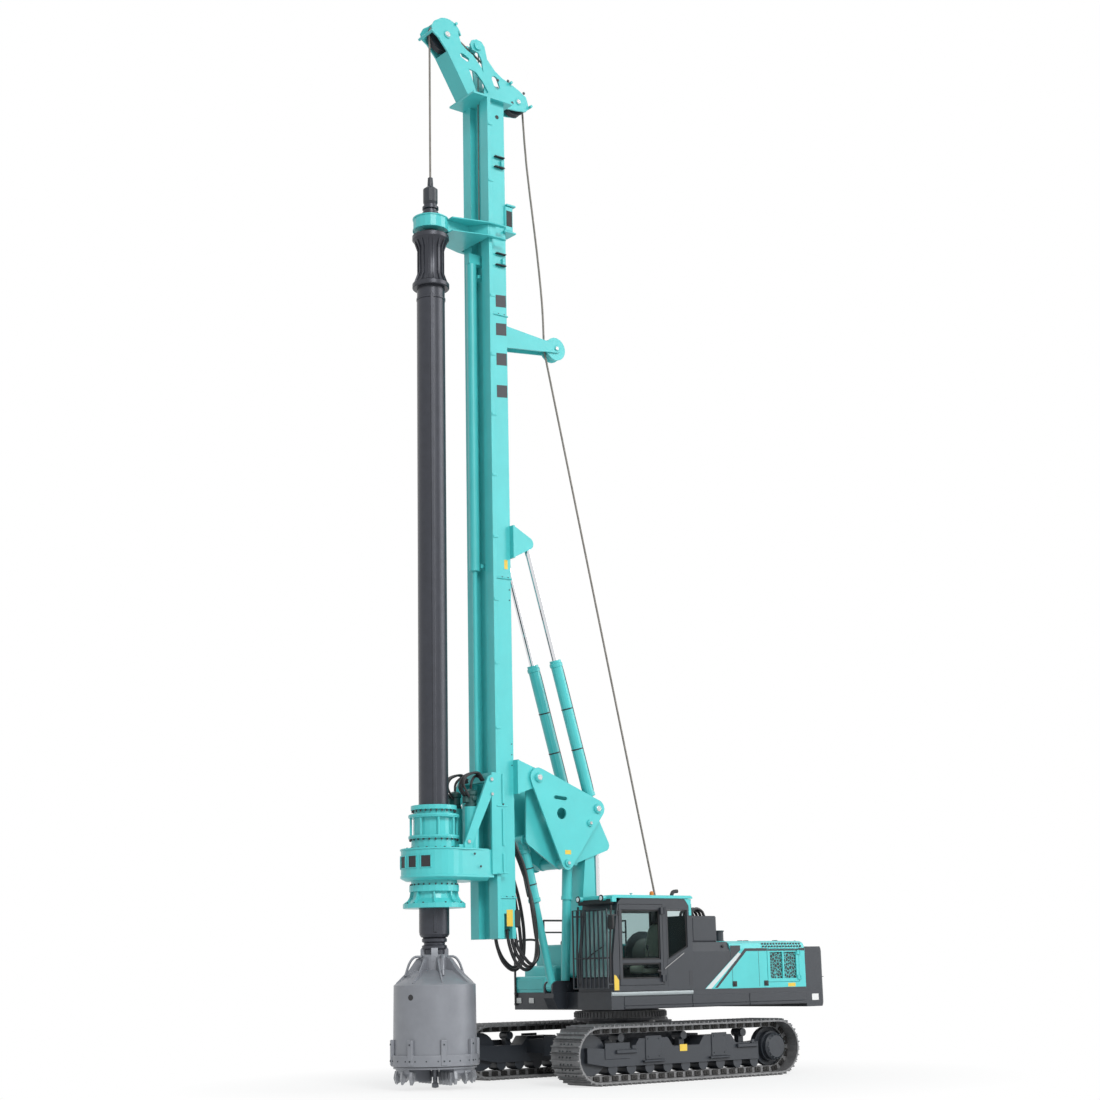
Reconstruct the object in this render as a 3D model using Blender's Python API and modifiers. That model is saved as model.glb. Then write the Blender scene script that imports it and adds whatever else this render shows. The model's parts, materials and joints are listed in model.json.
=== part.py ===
# Rotary piling rig on crawler tracks: a drilling bucket hangs on a telescopic kelly bar,
# turned by a rotary drive that rides on a tall mast. Metres, +X forward, +Y left, +Z up.
# Sizes are given from the slew axis; the whole machine is then shifted along X so that
# its box is centred over the origin.

import math

import bmesh
import bpy
from mathutils import Matrix, Vector

# Driving dimensions
GAP = 0.0003                  # between touching pieces
RUN_GAP = 0.0006              # under a beam or eye that slides or turns on its seat
CLEARANCE = 0.006             # between pieces that pass each other
OVERRUN = 0.02                # how far a cutter runs past what it cuts
SINK = 0.01                   # how far a welded piece goes into its neighbour

KELLY_X = 4.27                # slew axis to kelly axis
KELLY_R = 0.27
TRACK_LENGTH = 5.41
TRACK_HEIGHT = 1.04
TRACK_OVERALL = 4.16          # across both tracks, extended
SHOE_WIDTH = 0.80
TRACK_RETRACT = 0.55          # each track, for transport
DECK_LOW = 1.28
DECK_TOP = 1.60
LEFT_SIDE = 1.58              # side of the upper body
RIGHT_SIDE = 1.50
REAR_X = 3.98                 # slew axis to the back of the counterweight
MAST_FRONT = 3.17
MAST_FOOT_Z = 2.58
MAST_TOP_Z = 19.20
BUCKET_R = 0.74
WEAR_STRIP = 0.045            # how far the bucket's ring and strips stand out
SHIFT_X = (REAR_X - KELLY_X - BUCKET_R - WEAR_STRIP) / 2

# Pivots of the front linkage, (x, z) from the slew axis
ARM_FOOT = (0.95, 1.95)
ARM_RISE = (-0.11, 2.29)      # foot to head of the arm and of the link beside it
ARM_HEAD = (ARM_FOOT[0] + ARM_RISE[0], ARM_FOOT[1] + ARM_RISE[1])
LINK_FOOT = (1.32, 1.70)
LINK_HEAD = (LINK_FOOT[0] + ARM_RISE[0], LINK_FOOT[1] + ARM_RISE[1])
STRUT_FOOT = (1.62, 1.70)
STRUT_HEAD = (2.28, 4.39)
LUFF_FOOT = (0.50, 1.80)
LUFF_HEAD = (0.50, 4.33)
MAST_PIVOT = (2.25, 5.53)
TILT_FOOT = (0.85, 5.00)
TILT_HEAD = (2.34, 10.04)
LOBE = (1.60, 3.96)           # lowest corner of the triangle plates

for old in list(bpy.data.objects):
    bpy.data.objects.remove(old)

rig = bpy.data.collections.new("rotary_piling_rig")
bpy.context.scene.collection.children.link(rig)


# Finishes

def finish(name, colour, roughness, metallic):
    material = bpy.data.materials.new(name)
    material.use_nodes = True
    shader = material.node_tree.nodes["Principled BSDF"]
    shader.inputs["Base Color"].default_value = (*colour, 1)
    shader.inputs["Roughness"].default_value = roughness
    shader.inputs["Metallic"].default_value = metallic
    material.diffuse_color = (*colour, 1)
    return material


TEAL = finish("teal_paint", (0.10, 0.56, 0.54), 0.35, 0)
CHARCOAL = finish("charcoal_paint", (0.055, 0.06, 0.07), 0.5, 0)
STEEL = finish("bare_steel", (0.20, 0.21, 0.23), 0.5, 0.6)
KELLY_STEEL = finish("kelly_steel", (0.05, 0.05, 0.058), 0.45, 0.3)
CHROME = finish("chrome_rod", (0.75, 0.76, 0.78), 0.12, 1)
RUBBER = finish("seat_vinyl", (0.45, 0.42, 0.36), 0.7, 0)


# Making and joining solids

def evaluated(obj):
    """The object's shape after its modifiers, as a new mesh object in place of it."""
    bpy.context.view_layer.update()
    graph = bpy.context.evaluated_depsgraph_get()
    mesh = bpy.data.meshes.new_from_object(obj.evaluated_get(graph))
    mesh.transform(obj.matrix_world)
    result = bpy.data.objects.new(obj.name, mesh)
    rig.objects.link(result)
    bpy.data.objects.remove(obj)
    return result


def solid(shape):
    mesh = bpy.data.meshes.new("solid")
    shape.to_mesh(mesh)
    shape.free()
    obj = bpy.data.objects.new("solid", mesh)
    rig.objects.link(obj)
    return obj


def box(low, high):
    low, high = Vector(low), Vector(high)
    shape = bmesh.new()
    size = high - low
    place = Matrix.Translation((low + high) / 2) @ Matrix.Diagonal((*size, 1))
    bmesh.ops.create_cube(shape, size=1, matrix=place)
    return solid(shape)


def rod(start, end, radius, sides=16, end_radius=None):
    start, end = Vector(start), Vector(end)
    along = end - start
    shape = bmesh.new()
    place = Matrix.Translation((start + end) / 2) @ along.to_track_quat("Z", "Y").to_matrix().to_4x4()
    bmesh.ops.create_cone(
        shape,
        cap_ends=True,
        segments=sides,
        radius1=radius,
        radius2=radius if end_radius is None else end_radius,
        depth=along.length,
        matrix=place,
    )
    return solid(shape)


def cross_rod(at, half, radius, sides=16, y=0.0):
    """A round bar along Y through the point at = (x, z)."""
    return rod((at[0], y - half, at[1]), (at[0], y + half, at[1]), radius, sides)


def flat(outlines, half):
    """A flat piece from closed outlines in its own XY plane, half its thickness each way."""
    curve = bpy.data.curves.new("outline", "CURVE")
    curve.dimensions = "2D"
    curve.fill_mode = "BOTH"
    curve.extrude = half
    for outline in outlines:
        spline = curve.splines.new("POLY")
        spline.points.add(len(outline) - 1)
        for point, place in zip(spline.points, outline):
            point.co = (place[0], place[1], 0, 1)
        spline.use_cyclic_u = True
    obj = bpy.data.objects.new("outline", curve)
    rig.objects.link(obj)
    result = evaluated(obj)
    shape = bmesh.new()
    shape.from_mesh(result.data)
    bmesh.ops.remove_doubles(shape, verts=shape.verts, dist=GAP / 10)
    bmesh.ops.recalc_face_normals(shape, faces=shape.faces)
    shape.to_mesh(result.data)
    shape.free()
    return result


def side_plate(outlines, low, high):
    """A plate seen from the side: outlines in (x, z), between two places in Y."""
    plate = flat(outlines, (high - low) / 2)
    plate.data.transform(Matrix.Translation((0, (low + high) / 2, 0)) @ Matrix.Rotation(math.pi / 2, 4, "X"))
    return plate


def plan_plate(outlines, low, high):
    """A plate seen from above: outlines in (x, y), between two heights."""
    plate = flat(outlines, (high - low) / 2)
    plate.data.transform(Matrix.Translation((0, 0, (low + high) / 2)))
    return plate


def turned(profile, axis, at=(0, 0, 0), steps=24):
    """A turned solid: profile in (radius, height), from the top down its outer side."""
    shape = bmesh.new()
    points = [shape.verts.new((r, 0, h)) for r, h in profile]
    closed = profile[0][0] > 0
    for index in range(len(points) if closed else len(points) - 1):
        shape.edges.new((points[index], points[(index + 1) % len(points)]))
    obj = solid(shape)
    screw = obj.modifiers.new("turn", "SCREW")
    screw.steps = steps
    screw.render_steps = steps
    screw.use_merge_vertices = True
    screw.merge_threshold = GAP / 10
    result = evaluated(obj)
    shape = bmesh.new()
    shape.from_mesh(result.data)
    bmesh.ops.remove_doubles(shape, verts=shape.verts, dist=GAP / 10)
    bmesh.ops.recalc_face_normals(shape, faces=shape.faces)
    shape.to_mesh(result.data)
    shape.free()
    turn = {"X": Matrix.Rotation(math.pi / 2, 4, "Y"), "Y": Matrix.Rotation(-math.pi / 2, 4, "X"), "Z": Matrix()}
    result.data.transform(Matrix.Translation(at) @ turn[axis])
    return result


def combined(base, others, operation, solver="EXACT"):
    for other in others:
        step = base.modifiers.new(operation.lower(), "BOOLEAN")
        step.operation = operation
        step.solver = solver
        step.object = other
    result = evaluated(base)
    for other in others:
        bpy.data.objects.remove(other)
    return result


def joined(base, *others):
    return combined(base, others, "UNION")


def welded(base, *others):
    """A union of many plates, by the solver that copes with their many shared corners."""
    return combined(base, others, "UNION", "MANIFOLD")


def cut(base, *others):
    return combined(base, others, "DIFFERENCE")


def milled(base, *others):
    """A difference by the same solver as welded()."""
    return combined(base, others, "DIFFERENCE", "MANIFOLD")


def mirrored(obj):
    """A copy on the other side of the machine's centre plane."""
    shape = bmesh.new()
    shape.from_mesh(obj.data)
    bmesh.ops.transform(shape, matrix=Matrix.Diagonal((1, -1, 1, 1)), verts=shape.verts)
    bmesh.ops.reverse_faces(shape, faces=shape.faces)
    return solid(shape)


def moved(obj, offset):
    obj.data.transform(Matrix.Translation(offset))
    return obj


# Outlines

def arc(centre, radius, start, end, steps):
    """Points on an arc; start and end in degrees, anticlockwise."""
    return [
        (
            centre[0] + radius * math.cos(math.radians(start + (end - start) * i / steps)),
            centre[1] + radius * math.sin(math.radians(start + (end - start) * i / steps)),
        )
        for i in range(steps + 1)
    ]


def ring(centre, radius, steps=16):
    return arc(centre, radius, 0, 360, steps)[:-1]


def hole(centre, radius, steps=12):
    """A hole whose flats clear a round bar of this radius, and face the bar's corners at rest."""
    phase = 180 / steps
    return arc(centre, radius / math.cos(math.pi / steps), phase, 360 + phase, steps)[:-1]


def drill(at, half, radius, y=0.0):
    """A cutter along Y for such a hole."""
    return side_plate([hole(at, radius)], y - half, y + half)


def rectangle(low, high):
    return [low, (high[0], low[1]), high, (low[0], high[1])]


def wrapped(circles, steps=12):
    """The outline of a band pulled tight round circles given as (centre, radius)."""
    points = sorted({point for centre, radius in circles for point in ring(centre, radius, steps)})

    def half(row):
        chain = []
        for p in row:
            while len(chain) > 1 and (
                (chain[-1][0] - chain[-2][0]) * (p[1] - chain[-2][1])
                - (chain[-1][1] - chain[-2][1]) * (p[0] - chain[-2][0])
            ) <= 0:
                chain.pop()
            chain.append(p)
        return chain[:-1]

    return half(points) + half(points[::-1])


def between(a, b, share):
    """The point at a share of the way from a to b."""
    return tuple(p + (q - p) * share for p, q in zip(a, b))


def in_plane(point, y=0.0):
    return (point[0], y, point[1])


# Placing

frames = {}


def frame(name, parent, at):
    """An empty at a joint's pivot, or at a body's reference point."""
    empty = bpy.data.objects.new(name + "_pivot", None)
    rig.objects.link(empty)
    base = frames[parent][1] if parent else Vector((0, 0, 0))
    if parent:
        empty.parent = frames[parent][0]
    empty.location = Vector(at) - base
    frames[name] = (empty, Vector(at))


def fit(obj, name, material, body):
    """Names a finished solid, gives it its finish and hangs it on its body's empty."""
    empty, at = frames[body]
    obj.data.transform(Matrix.Translation(-at))
    obj.parent = empty
    obj.name = name
    obj.data.name = name
    obj.data.materials.clear()
    obj.data.materials.append(material)
    obj.data.shade_smooth()
    obj.data.set_sharp_from_angle(angle=math.radians(30))
    return obj


root = bpy.data.objects.new("machine", None)
root.location = (SHIFT_X, 0, 0)
rig.objects.link(root)
frames["machine"] = (root, Vector((0, 0, 0)))

# Bodies and their pivots: (name, carried by, pivot)
MAIN_WINCH = (-0.92, 2.28)
AUX_WINCH = (-0.08, 1.96)
CAB_DOOR_HINGE = (0.24, 1.66)
GRILLE_DOOR_HINGE_X = -3.30
DOOR_HINGE_OUT = 0.02         # hinge line of a hood door, out from the hood's side
FRONT_SHEAVE_R = 0.29
FRONT_SHEAVE = (KELLY_X - FRONT_SHEAVE_R, 20.42)
REAR_SHEAVE = (2.20, 19.47)
REAR_SHEAVE_R = 0.23
TENSION_ROLLER = (1.30, 14.30)
BUCKET_LOW = 0.40
KNUCKLE_R = 0.03
FLAP_HINGE = (-BUCKET_R - WEAR_STRIP - KNUCKLE_R - CLEARANCE * 2, BUCKET_LOW - GAP - KNUCKLE_R)
BODIES = (
    ("undercarriage", "machine", (0, 0, 0)),
    ("left_track", "undercarriage", (0, 0, 0)),
    ("right_track", "undercarriage", (0, 0, 0)),
    ("upper", "undercarriage", (0, 0, 0)),
    ("cab_door", "upper", (*CAB_DOOR_HINGE, 0)),
    ("left_hood_door", "upper", (GRILLE_DOOR_HINGE_X, LEFT_SIDE + DOOR_HINGE_OUT, 0)),
    ("right_hood_door", "upper", (GRILLE_DOOR_HINGE_X, -RIGHT_SIDE - DOOR_HINGE_OUT, 0)),
    ("main_winch", "upper", in_plane(MAIN_WINCH)),
    ("aux_winch", "upper", in_plane(AUX_WINCH)),
    ("arm", "upper", in_plane(ARM_FOOT)),
    ("link", "upper", in_plane(LINK_FOOT)),
    ("luff_barrel", "upper", in_plane(LUFF_FOOT)),
    ("luff_rod", "luff_barrel", in_plane(LUFF_HEAD)),
    ("triangle", "arm", in_plane(ARM_HEAD)),
    ("strut_barrel", "triangle", in_plane(STRUT_HEAD)),
    ("strut_rod", "strut_barrel", in_plane(STRUT_FOOT)),
    ("tilt_barrels", "triangle", in_plane(TILT_FOOT)),
    ("tilt_rods", "tilt_barrels", in_plane(TILT_HEAD)),
    ("mast", "triangle", in_plane(MAST_PIVOT)),
    ("front_sheave", "mast", in_plane(FRONT_SHEAVE)),
    ("rear_sheave", "mast", in_plane(REAR_SHEAVE)),
    ("tension_roller", "mast", in_plane(TENSION_ROLLER)),
    ("sled", "mast", (KELLY_X, 0, 0)),
    ("sleeve", "sled", (KELLY_X, 0, 0)),
    ("hoist", "mast", (KELLY_X, 0, 0)),
    ("kelly", "hoist", (KELLY_X, 0, 0)),
    ("flap", "kelly", (KELLY_X, *FLAP_HINGE)),
)
for body, carrier, pivot in BODIES:
    frame(body, carrier, pivot)


# Tracks: one closed loop of grousered shoes on a chain, round an idler and a sprocket

SHOE_COUNT = 52
GROUSER = 0.035
SHOE_THICK = 0.030
LINK_HEIGHT = 0.100
LINK_WIDTH = 0.24
END_R = TRACK_HEIGHT / 2
WHEEL_X = TRACK_LENGTH / 2 - END_R
TRACK_Y = (TRACK_OVERALL - SHOE_WIDTH) / 2
SHOE_OUT = END_R - GROUSER
SHOE_IN = SHOE_OUT - SHOE_THICK
CHAIN_IN = SHOE_IN - LINK_HEIGHT
# share of the pitch, share of the grouser's height: three low bars on each shoe
SHOE_SHARES = (
    (0.03, 0),
    (0.08, 1),
    (0.13, 0),
    (0.44, 0),
    (0.47, 1),
    (0.53, 1),
    (0.56, 0),
    (0.87, 0),
    (0.92, 1),
    (0.97, 0),
)
ARC_STEPS = 12


def loop_point(along, radius):
    """A point at a distance along the loop's mean line, radius out from the end wheels' centres."""
    straight = 2 * WHEEL_X
    bend = math.pi * SHOE_IN
    along = along % (2 * (straight + bend))
    if along < straight:
        return (along - WHEEL_X, END_R - radius)
    along -= straight
    if along < bend:
        turn = along / SHOE_IN - math.pi / 2
        return (WHEEL_X + radius * math.cos(turn), END_R + radius * math.sin(turn))
    along -= bend
    if along < straight:
        return (WHEEL_X - along, END_R + radius)
    turn = (along - straight) / SHOE_IN + math.pi / 2
    return (radius * math.cos(turn) - WHEEL_X, END_R + radius * math.sin(turn))


def stadium(radius, steps=ARC_STEPS):
    return arc((WHEEL_X, END_R), radius, -90, 90, steps) + arc((-WHEEL_X, END_R), radius, 90, 270, steps)


def track_loop():
    pitch = 2 * (2 * WHEEL_X + math.pi * SHOE_IN) / SHOE_COUNT
    outer = [
        loop_point((shoe + share) * pitch, SHOE_OUT + tall * GROUSER)
        for shoe in range(SHOE_COUNT)
        for share, tall in SHOE_SHARES
    ]
    shoes = side_plate([outer, stadium(SHOE_IN)], TRACK_Y - SHOE_WIDTH / 2, TRACK_Y + SHOE_WIDTH / 2)
    chain = side_plate(
        [stadium(SHOE_IN + SINK), stadium(CHAIN_IN)], TRACK_Y - LINK_WIDTH / 2, TRACK_Y + LINK_WIDTH / 2
    )
    return welded(shoes, chain)


FRAME_HALF = 0.19
FRAME_DROP = 0.21             # the frame's faces and the beams' axis, from the end wheels' axis
FRAME_RISE = 0.10
HUMP_RISE = 0.26
BEAM_RISE = 0.08
FRAME_LOW = END_R - FRAME_DROP
FRAME_TOP = END_R + FRAME_RISE
FRAME_END_HALF = 0.13
HUMP_X = 0.78
HUMP_HALF = 0.34
HUMP_TOP = END_R + HUMP_RISE
HUMP_SLOPE = 0.12
SLOT_HALF = 0.115
CENTRE_HALF_X = 0.85
BEAM_OUT = 0.13               # a beam's middle, ahead of the centre box
BEAM_X = CENTRE_HALF_X + BEAM_OUT
BEAM_HALF_X = 0.16
BEAM_HALF_Z = 0.13
BEAM_Z = END_R + BEAM_RISE
BEAM_INNER_Y = 0.57
ROLLER_COUNT = 9
ROLLER_R = 0.11
ROLLER_HALF = 0.16
ROLLER_SPAN = 3.44
CARRIER_R = 0.075
CARRIER_HALF = 0.13
CARRIER_X = (-1.49, 0.0, 1.49)
POST_HALF = 0.06
ROLLER_Z = END_R - CHAIN_IN + GAP + ROLLER_R
CARRIER_Z = END_R + CHAIN_IN - GAP - CARRIER_R


def track_frame():
    end = WHEEL_X + FRAME_END_HALF
    shoulder = WHEEL_X - CHAIN_IN
    outline = [(-end, END_R - FRAME_END_HALF), (-shoulder, FRAME_LOW), (shoulder, FRAME_LOW)]
    outline += [(end, END_R - FRAME_END_HALF), (end, END_R + FRAME_END_HALF), (shoulder, FRAME_TOP)]
    for x in (HUMP_X, -HUMP_X):
        outline += [(x + HUMP_HALF + HUMP_SLOPE, FRAME_TOP), (x + HUMP_HALF, HUMP_TOP)]
        outline += [(x - HUMP_HALF, HUMP_TOP), (x - HUMP_HALF - HUMP_SLOPE, FRAME_TOP)]
    outline += [(-shoulder, FRAME_TOP), (-end, END_R + FRAME_END_HALF)]
    beam = side_plate([outline], TRACK_Y - FRAME_HALF, TRACK_Y + FRAME_HALF)
    pieces = []
    for x in (-BEAM_X, BEAM_X):
        pieces.append(
            box(
                (x - BEAM_HALF_X, BEAM_INNER_Y, BEAM_Z - BEAM_HALF_Z),
                (x + BEAM_HALF_X, TRACK_Y - FRAME_HALF + SINK, BEAM_Z + BEAM_HALF_Z),
            )
        )
    for index in range(ROLLER_COUNT):
        x = ROLLER_SPAN * (index / (ROLLER_COUNT - 1) - 1 / 2)
        pieces.append(cross_rod((x, ROLLER_Z), ROLLER_HALF, ROLLER_R, 12, TRACK_Y))
    for x in CARRIER_X:
        pieces.append(cross_rod((x, CARRIER_Z), CARRIER_HALF, CARRIER_R, 12, TRACK_Y))
        pieces.append(
            box(
                (x - POST_HALF, TRACK_Y - POST_HALF, FRAME_TOP - SINK),
                (x + POST_HALF, TRACK_Y + POST_HALF, CARRIER_Z),
            )
        )
    whole = joined(beam, *pieces)
    front = box(
        (WHEEL_X - CHAIN_IN - OVERRUN, TRACK_Y - SLOT_HALF, 0),
        (WHEEL_X + CHAIN_IN, TRACK_Y + SLOT_HALF, TRACK_HEIGHT),
    )
    rear = box(
        (-WHEEL_X - CHAIN_IN, TRACK_Y - SLOT_HALF, 0),
        (-WHEEL_X + CHAIN_IN + OVERRUN, TRACK_Y + FRAME_HALF + OVERRUN, TRACK_HEIGHT),
    )
    return cut(whole, front, rear)


IDLER_RIM_HALF = 0.10
IDLER_HUB_R_SHARE = 0.38


def idler():
    r = CHAIN_IN - GAP
    hub = SLOT_HALF - GAP
    profile = [(0, hub), (r * IDLER_HUB_R_SHARE, hub), (r * IDLER_HUB_R_SHARE, IDLER_RIM_HALF), (r, IDLER_RIM_HALF)]
    profile += [(radius, -height) for radius, height in reversed(profile)]
    return turned(profile, "Y", (WHEEL_X, TRACK_Y, END_R), ARC_STEPS * 2)


DRIVE_CAP_R = 0.25
DRIVE_CAP_RIM_R = 0.28
DRIVE_CAP_OUT = 0.30
DRIVE_CAP_STEP = 0.05
SPROCKET_TEETH_HALF = 0.06


def final_drive():
    r = CHAIN_IN - GAP
    profile = [
        (0, DRIVE_CAP_OUT),
        (DRIVE_CAP_R - DRIVE_CAP_STEP, DRIVE_CAP_OUT),
        (DRIVE_CAP_R, DRIVE_CAP_OUT - DRIVE_CAP_STEP),
        (DRIVE_CAP_R, SLOT_HALF + DRIVE_CAP_STEP),
        (DRIVE_CAP_RIM_R, SLOT_HALF + DRIVE_CAP_STEP),
        (DRIVE_CAP_RIM_R, SPROCKET_TEETH_HALF),
        (r, SPROCKET_TEETH_HALF),
        (r, -SPROCKET_TEETH_HALF),
        (DRIVE_CAP_R, -SPROCKET_TEETH_HALF),
        (DRIVE_CAP_R, GAP - SLOT_HALF),
        (0, GAP - SLOT_HALF),
    ]
    return turned(profile, "Y", (-WHEEL_X, TRACK_Y, END_R), ARC_STEPS * 2)


for make, name, material in (
    (track_loop, "track_loop", STEEL),
    (track_frame, "track_frame", CHARCOAL),
    (idler, "idler", CHARCOAL),
    (final_drive, "final_drive", CHARCOAL),
):
    left = make()
    right = mirrored(left)
    fit(left, "left_" + name, material, "left_track")
    fit(right, "right_" + name, material, "right_track")


# Car body: a centre box with two cross sleeves for the tracks' beams, and the slew ring

CENTRE_HALF_Y = 0.62
CENTRE_LOW = 0.44
CENTRE_TOP = 0.96
SLEEVE_WALL = 0.05
SLEEVE_OUT = 0.86
NECK_R = 0.66
SEAT_R = 0.90
SEAT_LOW = 1.06
SEAT_TOP = 1.10
SLEW_RING_R = 0.87
SLEW_RING_TOP = 1.235
SLEW_BOSS_R = 0.74


def car_body():
    centre = box((-CENTRE_HALF_X, -CENTRE_HALF_Y, CENTRE_LOW), (CENTRE_HALF_X, CENTRE_HALF_Y, CENTRE_TOP))
    pieces = [
        rod((0, 0, CENTRE_TOP - SINK), (0, 0, SEAT_LOW + SINK), NECK_R, 24),
        rod((0, 0, SEAT_LOW), (0, 0, SEAT_TOP), SEAT_R, 24),
    ]
    channels = []
    for x in (-BEAM_X, BEAM_X):
        half = BEAM_HALF_X + CLEARANCE
        low = BEAM_Z - BEAM_HALF_Z - RUN_GAP
        high = BEAM_Z + BEAM_HALF_Z + CLEARANCE
        pieces.append(
            box(
                (x - half - SLEEVE_WALL, -SLEEVE_OUT, low - SLEEVE_WALL),
                (x + half + SLEEVE_WALL, SLEEVE_OUT, high + SLEEVE_WALL),
            )
        )
        channels.append(box((x - half, -SLEEVE_OUT - OVERRUN, low), (x + half, SLEEVE_OUT + OVERRUN, high)))
    return cut(joined(centre, *pieces), *channels)


fit(car_body(), "car_body", CHARCOAL, "undercarriage")
fit(rod((0, 0, SEAT_TOP + GAP), (0, 0, SLEW_RING_TOP), SLEW_RING_R, 32), "slew_ring", STEEL, "undercarriage")


# Deck of the upper body, with the brackets that carry arm, link, strut, cylinder and winches

DECK_FRONT = 1.40
DECK_REAR = 3.45
CAB_FLOOR_FRONT = 1.50
CAB_INNER = 0.60
BRACKET_T = 0.04
BRACKET_TOP_R = 0.11
BRACKET_BASE_HALF = 0.20
ARM_HALF = 0.24
LINK_HALF = 0.10
LINK_THICK_R = 0.098
LINK_THIN_R = 0.085
LINK_SPLIT_SHARE = 0.70
STRUT_HALF = 0.10
LUFF_HALF = 0.09
PIN_R = 0.055
FOOT_R = 0.10
WINCH_HALF = 0.40
AUX_HALF = 0.26
WINCH_FLANGE_R = 0.45
AUX_FLANGE_R = 0.29
WINCH_STAND_T = 0.05
WINCH_SHAFT_R = 0.07
DRUM_R_SHARE = 0.62


def bracket(pivots, inner, base_half=BRACKET_BASE_HALF):
    """Two upright plates on the deck with a pin between them at the first pivot."""
    base = DECK_TOP - SINK * 2
    corners = [((pivots[0][0] - base_half, base), 0), ((pivots[-1][0] + base_half, base), 0)]
    outline = wrapped([(pivot, BRACKET_TOP_R) for pivot in pivots] + corners)
    near = inner + GAP
    pieces = [side_plate([outline], low, low + BRACKET_T) for low in (near, -near - BRACKET_T)]
    pieces.append(cross_rod(pivots[0], near + BRACKET_T + SINK, PIN_R, 12))
    return pieces


def deck():
    outline = [
        (-DECK_REAR, -RIGHT_SIDE),
        (DECK_FRONT, -RIGHT_SIDE),
        (DECK_FRONT, CAB_INNER),
        (CAB_FLOOR_FRONT, CAB_INNER),
        (CAB_FLOOR_FRONT, LEFT_SIDE),
        (-DECK_REAR, LEFT_SIDE),
    ]
    plate = plan_plate([outline], DECK_LOW, DECK_TOP)
    pieces = [rod((0, 0, SLEW_RING_TOP + GAP), (0, 0, DECK_LOW + SINK), SLEW_BOSS_R, 24)]
    nose = [
        (DECK_FRONT - SINK, DECK_LOW + OVERRUN),
        (STRUT_FOOT[0], DECK_LOW + OVERRUN),
        (STRUT_FOOT[0] + FOOT_R, DECK_TOP - FOOT_R),
        (STRUT_FOOT[0] + FOOT_R, DECK_TOP - SINK),
        (DECK_FRONT - SINK, DECK_TOP - SINK),
    ]
    pieces.append(side_plate([nose], -STRUT_HALF - BRACKET_T - SINK, STRUT_HALF + BRACKET_T + SINK))
    pieces += bracket([ARM_FOOT], ARM_HALF)
    pieces += bracket([LINK_FOOT, STRUT_FOOT], LINK_HALF, BRACKET_TOP_R)
    pieces += bracket([LUFF_FOOT], LUFF_HALF)
    for at, half, flange in ((MAIN_WINCH, WINCH_HALF, WINCH_FLANGE_R), (AUX_WINCH, AUX_HALF, AUX_FLANGE_R)):
        feet = [((at[0] + side * flange, DECK_TOP - SINK), 0) for side in (-1, 1)]
        stand = wrapped([(at, WINCH_SHAFT_R * 2), *feet], 12)
        inner = half + CLEARANCE
        for low in (inner, -inner - WINCH_STAND_T):
            pieces.append(side_plate([stand, hole(at, WINCH_SHAFT_R + RUN_GAP)], low, low + WINCH_STAND_T))
    return welded(plate, *pieces)


fit(deck(), "deck", CHARCOAL, "upper")


def winch(at, half, flange_r, body, name):
    reach = half + CLEARANCE + WINCH_STAND_T
    flange_t = half / 8
    drum_r = flange_r * DRUM_R_SHARE
    profile = [
        (0, reach),
        (WINCH_SHAFT_R, reach),
        (WINCH_SHAFT_R, half),
        (flange_r, half),
        (flange_r, half - flange_t),
        (drum_r, half - flange_t),
    ]
    profile += [(radius, -height) for radius, height in reversed(profile)]
    fit(turned(profile, "Y", in_plane(at), 18), name, CHARCOAL, body)


winch(MAIN_WINCH, WINCH_HALF, WINCH_FLANGE_R, "main_winch", "main_winch_drum")
winch(AUX_WINCH, AUX_HALF, AUX_FLANGE_R, "aux_winch", "aux_winch_drum")


# House: hollow engine hood with a grille door on each side, engine, counterweight, side boxes

HOUSE_FRONT = 1.46
HOUSE_TOP = 2.48
HOUSE_WALL = 0.04
HOUSE_ROUND = 0.14
HOUSE_ROUND_STEPS = 2
DOOR_FRONT = 2.42
DOOR_LOW = 1.70
DOOR_HIGH = 2.34
DOOR_T = 0.04
DOOR_RIM = 0.07
DOOR_BAR = 0.04
DOOR_GAP = 0.006
HINGE_R = 0.015
ENGINE_LOW = (-3.10, -0.60)
ENGINE_HIGH = (-1.75, 0.60)
ENGINE_TOP = 2.28
EXHAUST = (-1.75, 0.95)
EXHAUST_R = 0.09
EXHAUST_TOP = 2.70
CW_FRONT = DECK_REAR + GAP
CW_TOP = 2.37
CW_LOW = 1.22
CW_ROUND = 0.12
CW_BEVEL = (0.10, 0.13)       # slope of its top and bottom corners, along X and up


def hood_section(inset):
    left, right, top = LEFT_SIDE - inset, -RIGHT_SIDE + inset, HOUSE_TOP - inset
    low = DECK_TOP + GAP
    r = HOUSE_ROUND - inset
    outline = [(right, low), (left, low)]
    outline += arc((left - r, top - r), r, 0, 90, HOUSE_ROUND_STEPS)
    outline += arc((right + r, top - r), r, 90, 180, HOUSE_ROUND_STEPS)
    return outline


def lengthwise(outlines, low, high):
    """A piece of one section all along X: outlines in (y, z), between two places in X."""
    plate = flat(outlines, (high - low) / 2)
    turn = Matrix(((0, 0, 1, (low + high) / 2), (1, 0, 0, 0), (0, 1, 0, 0), (0, 0, 0, 1)))
    plate.data.transform(turn)
    return plate


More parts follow.
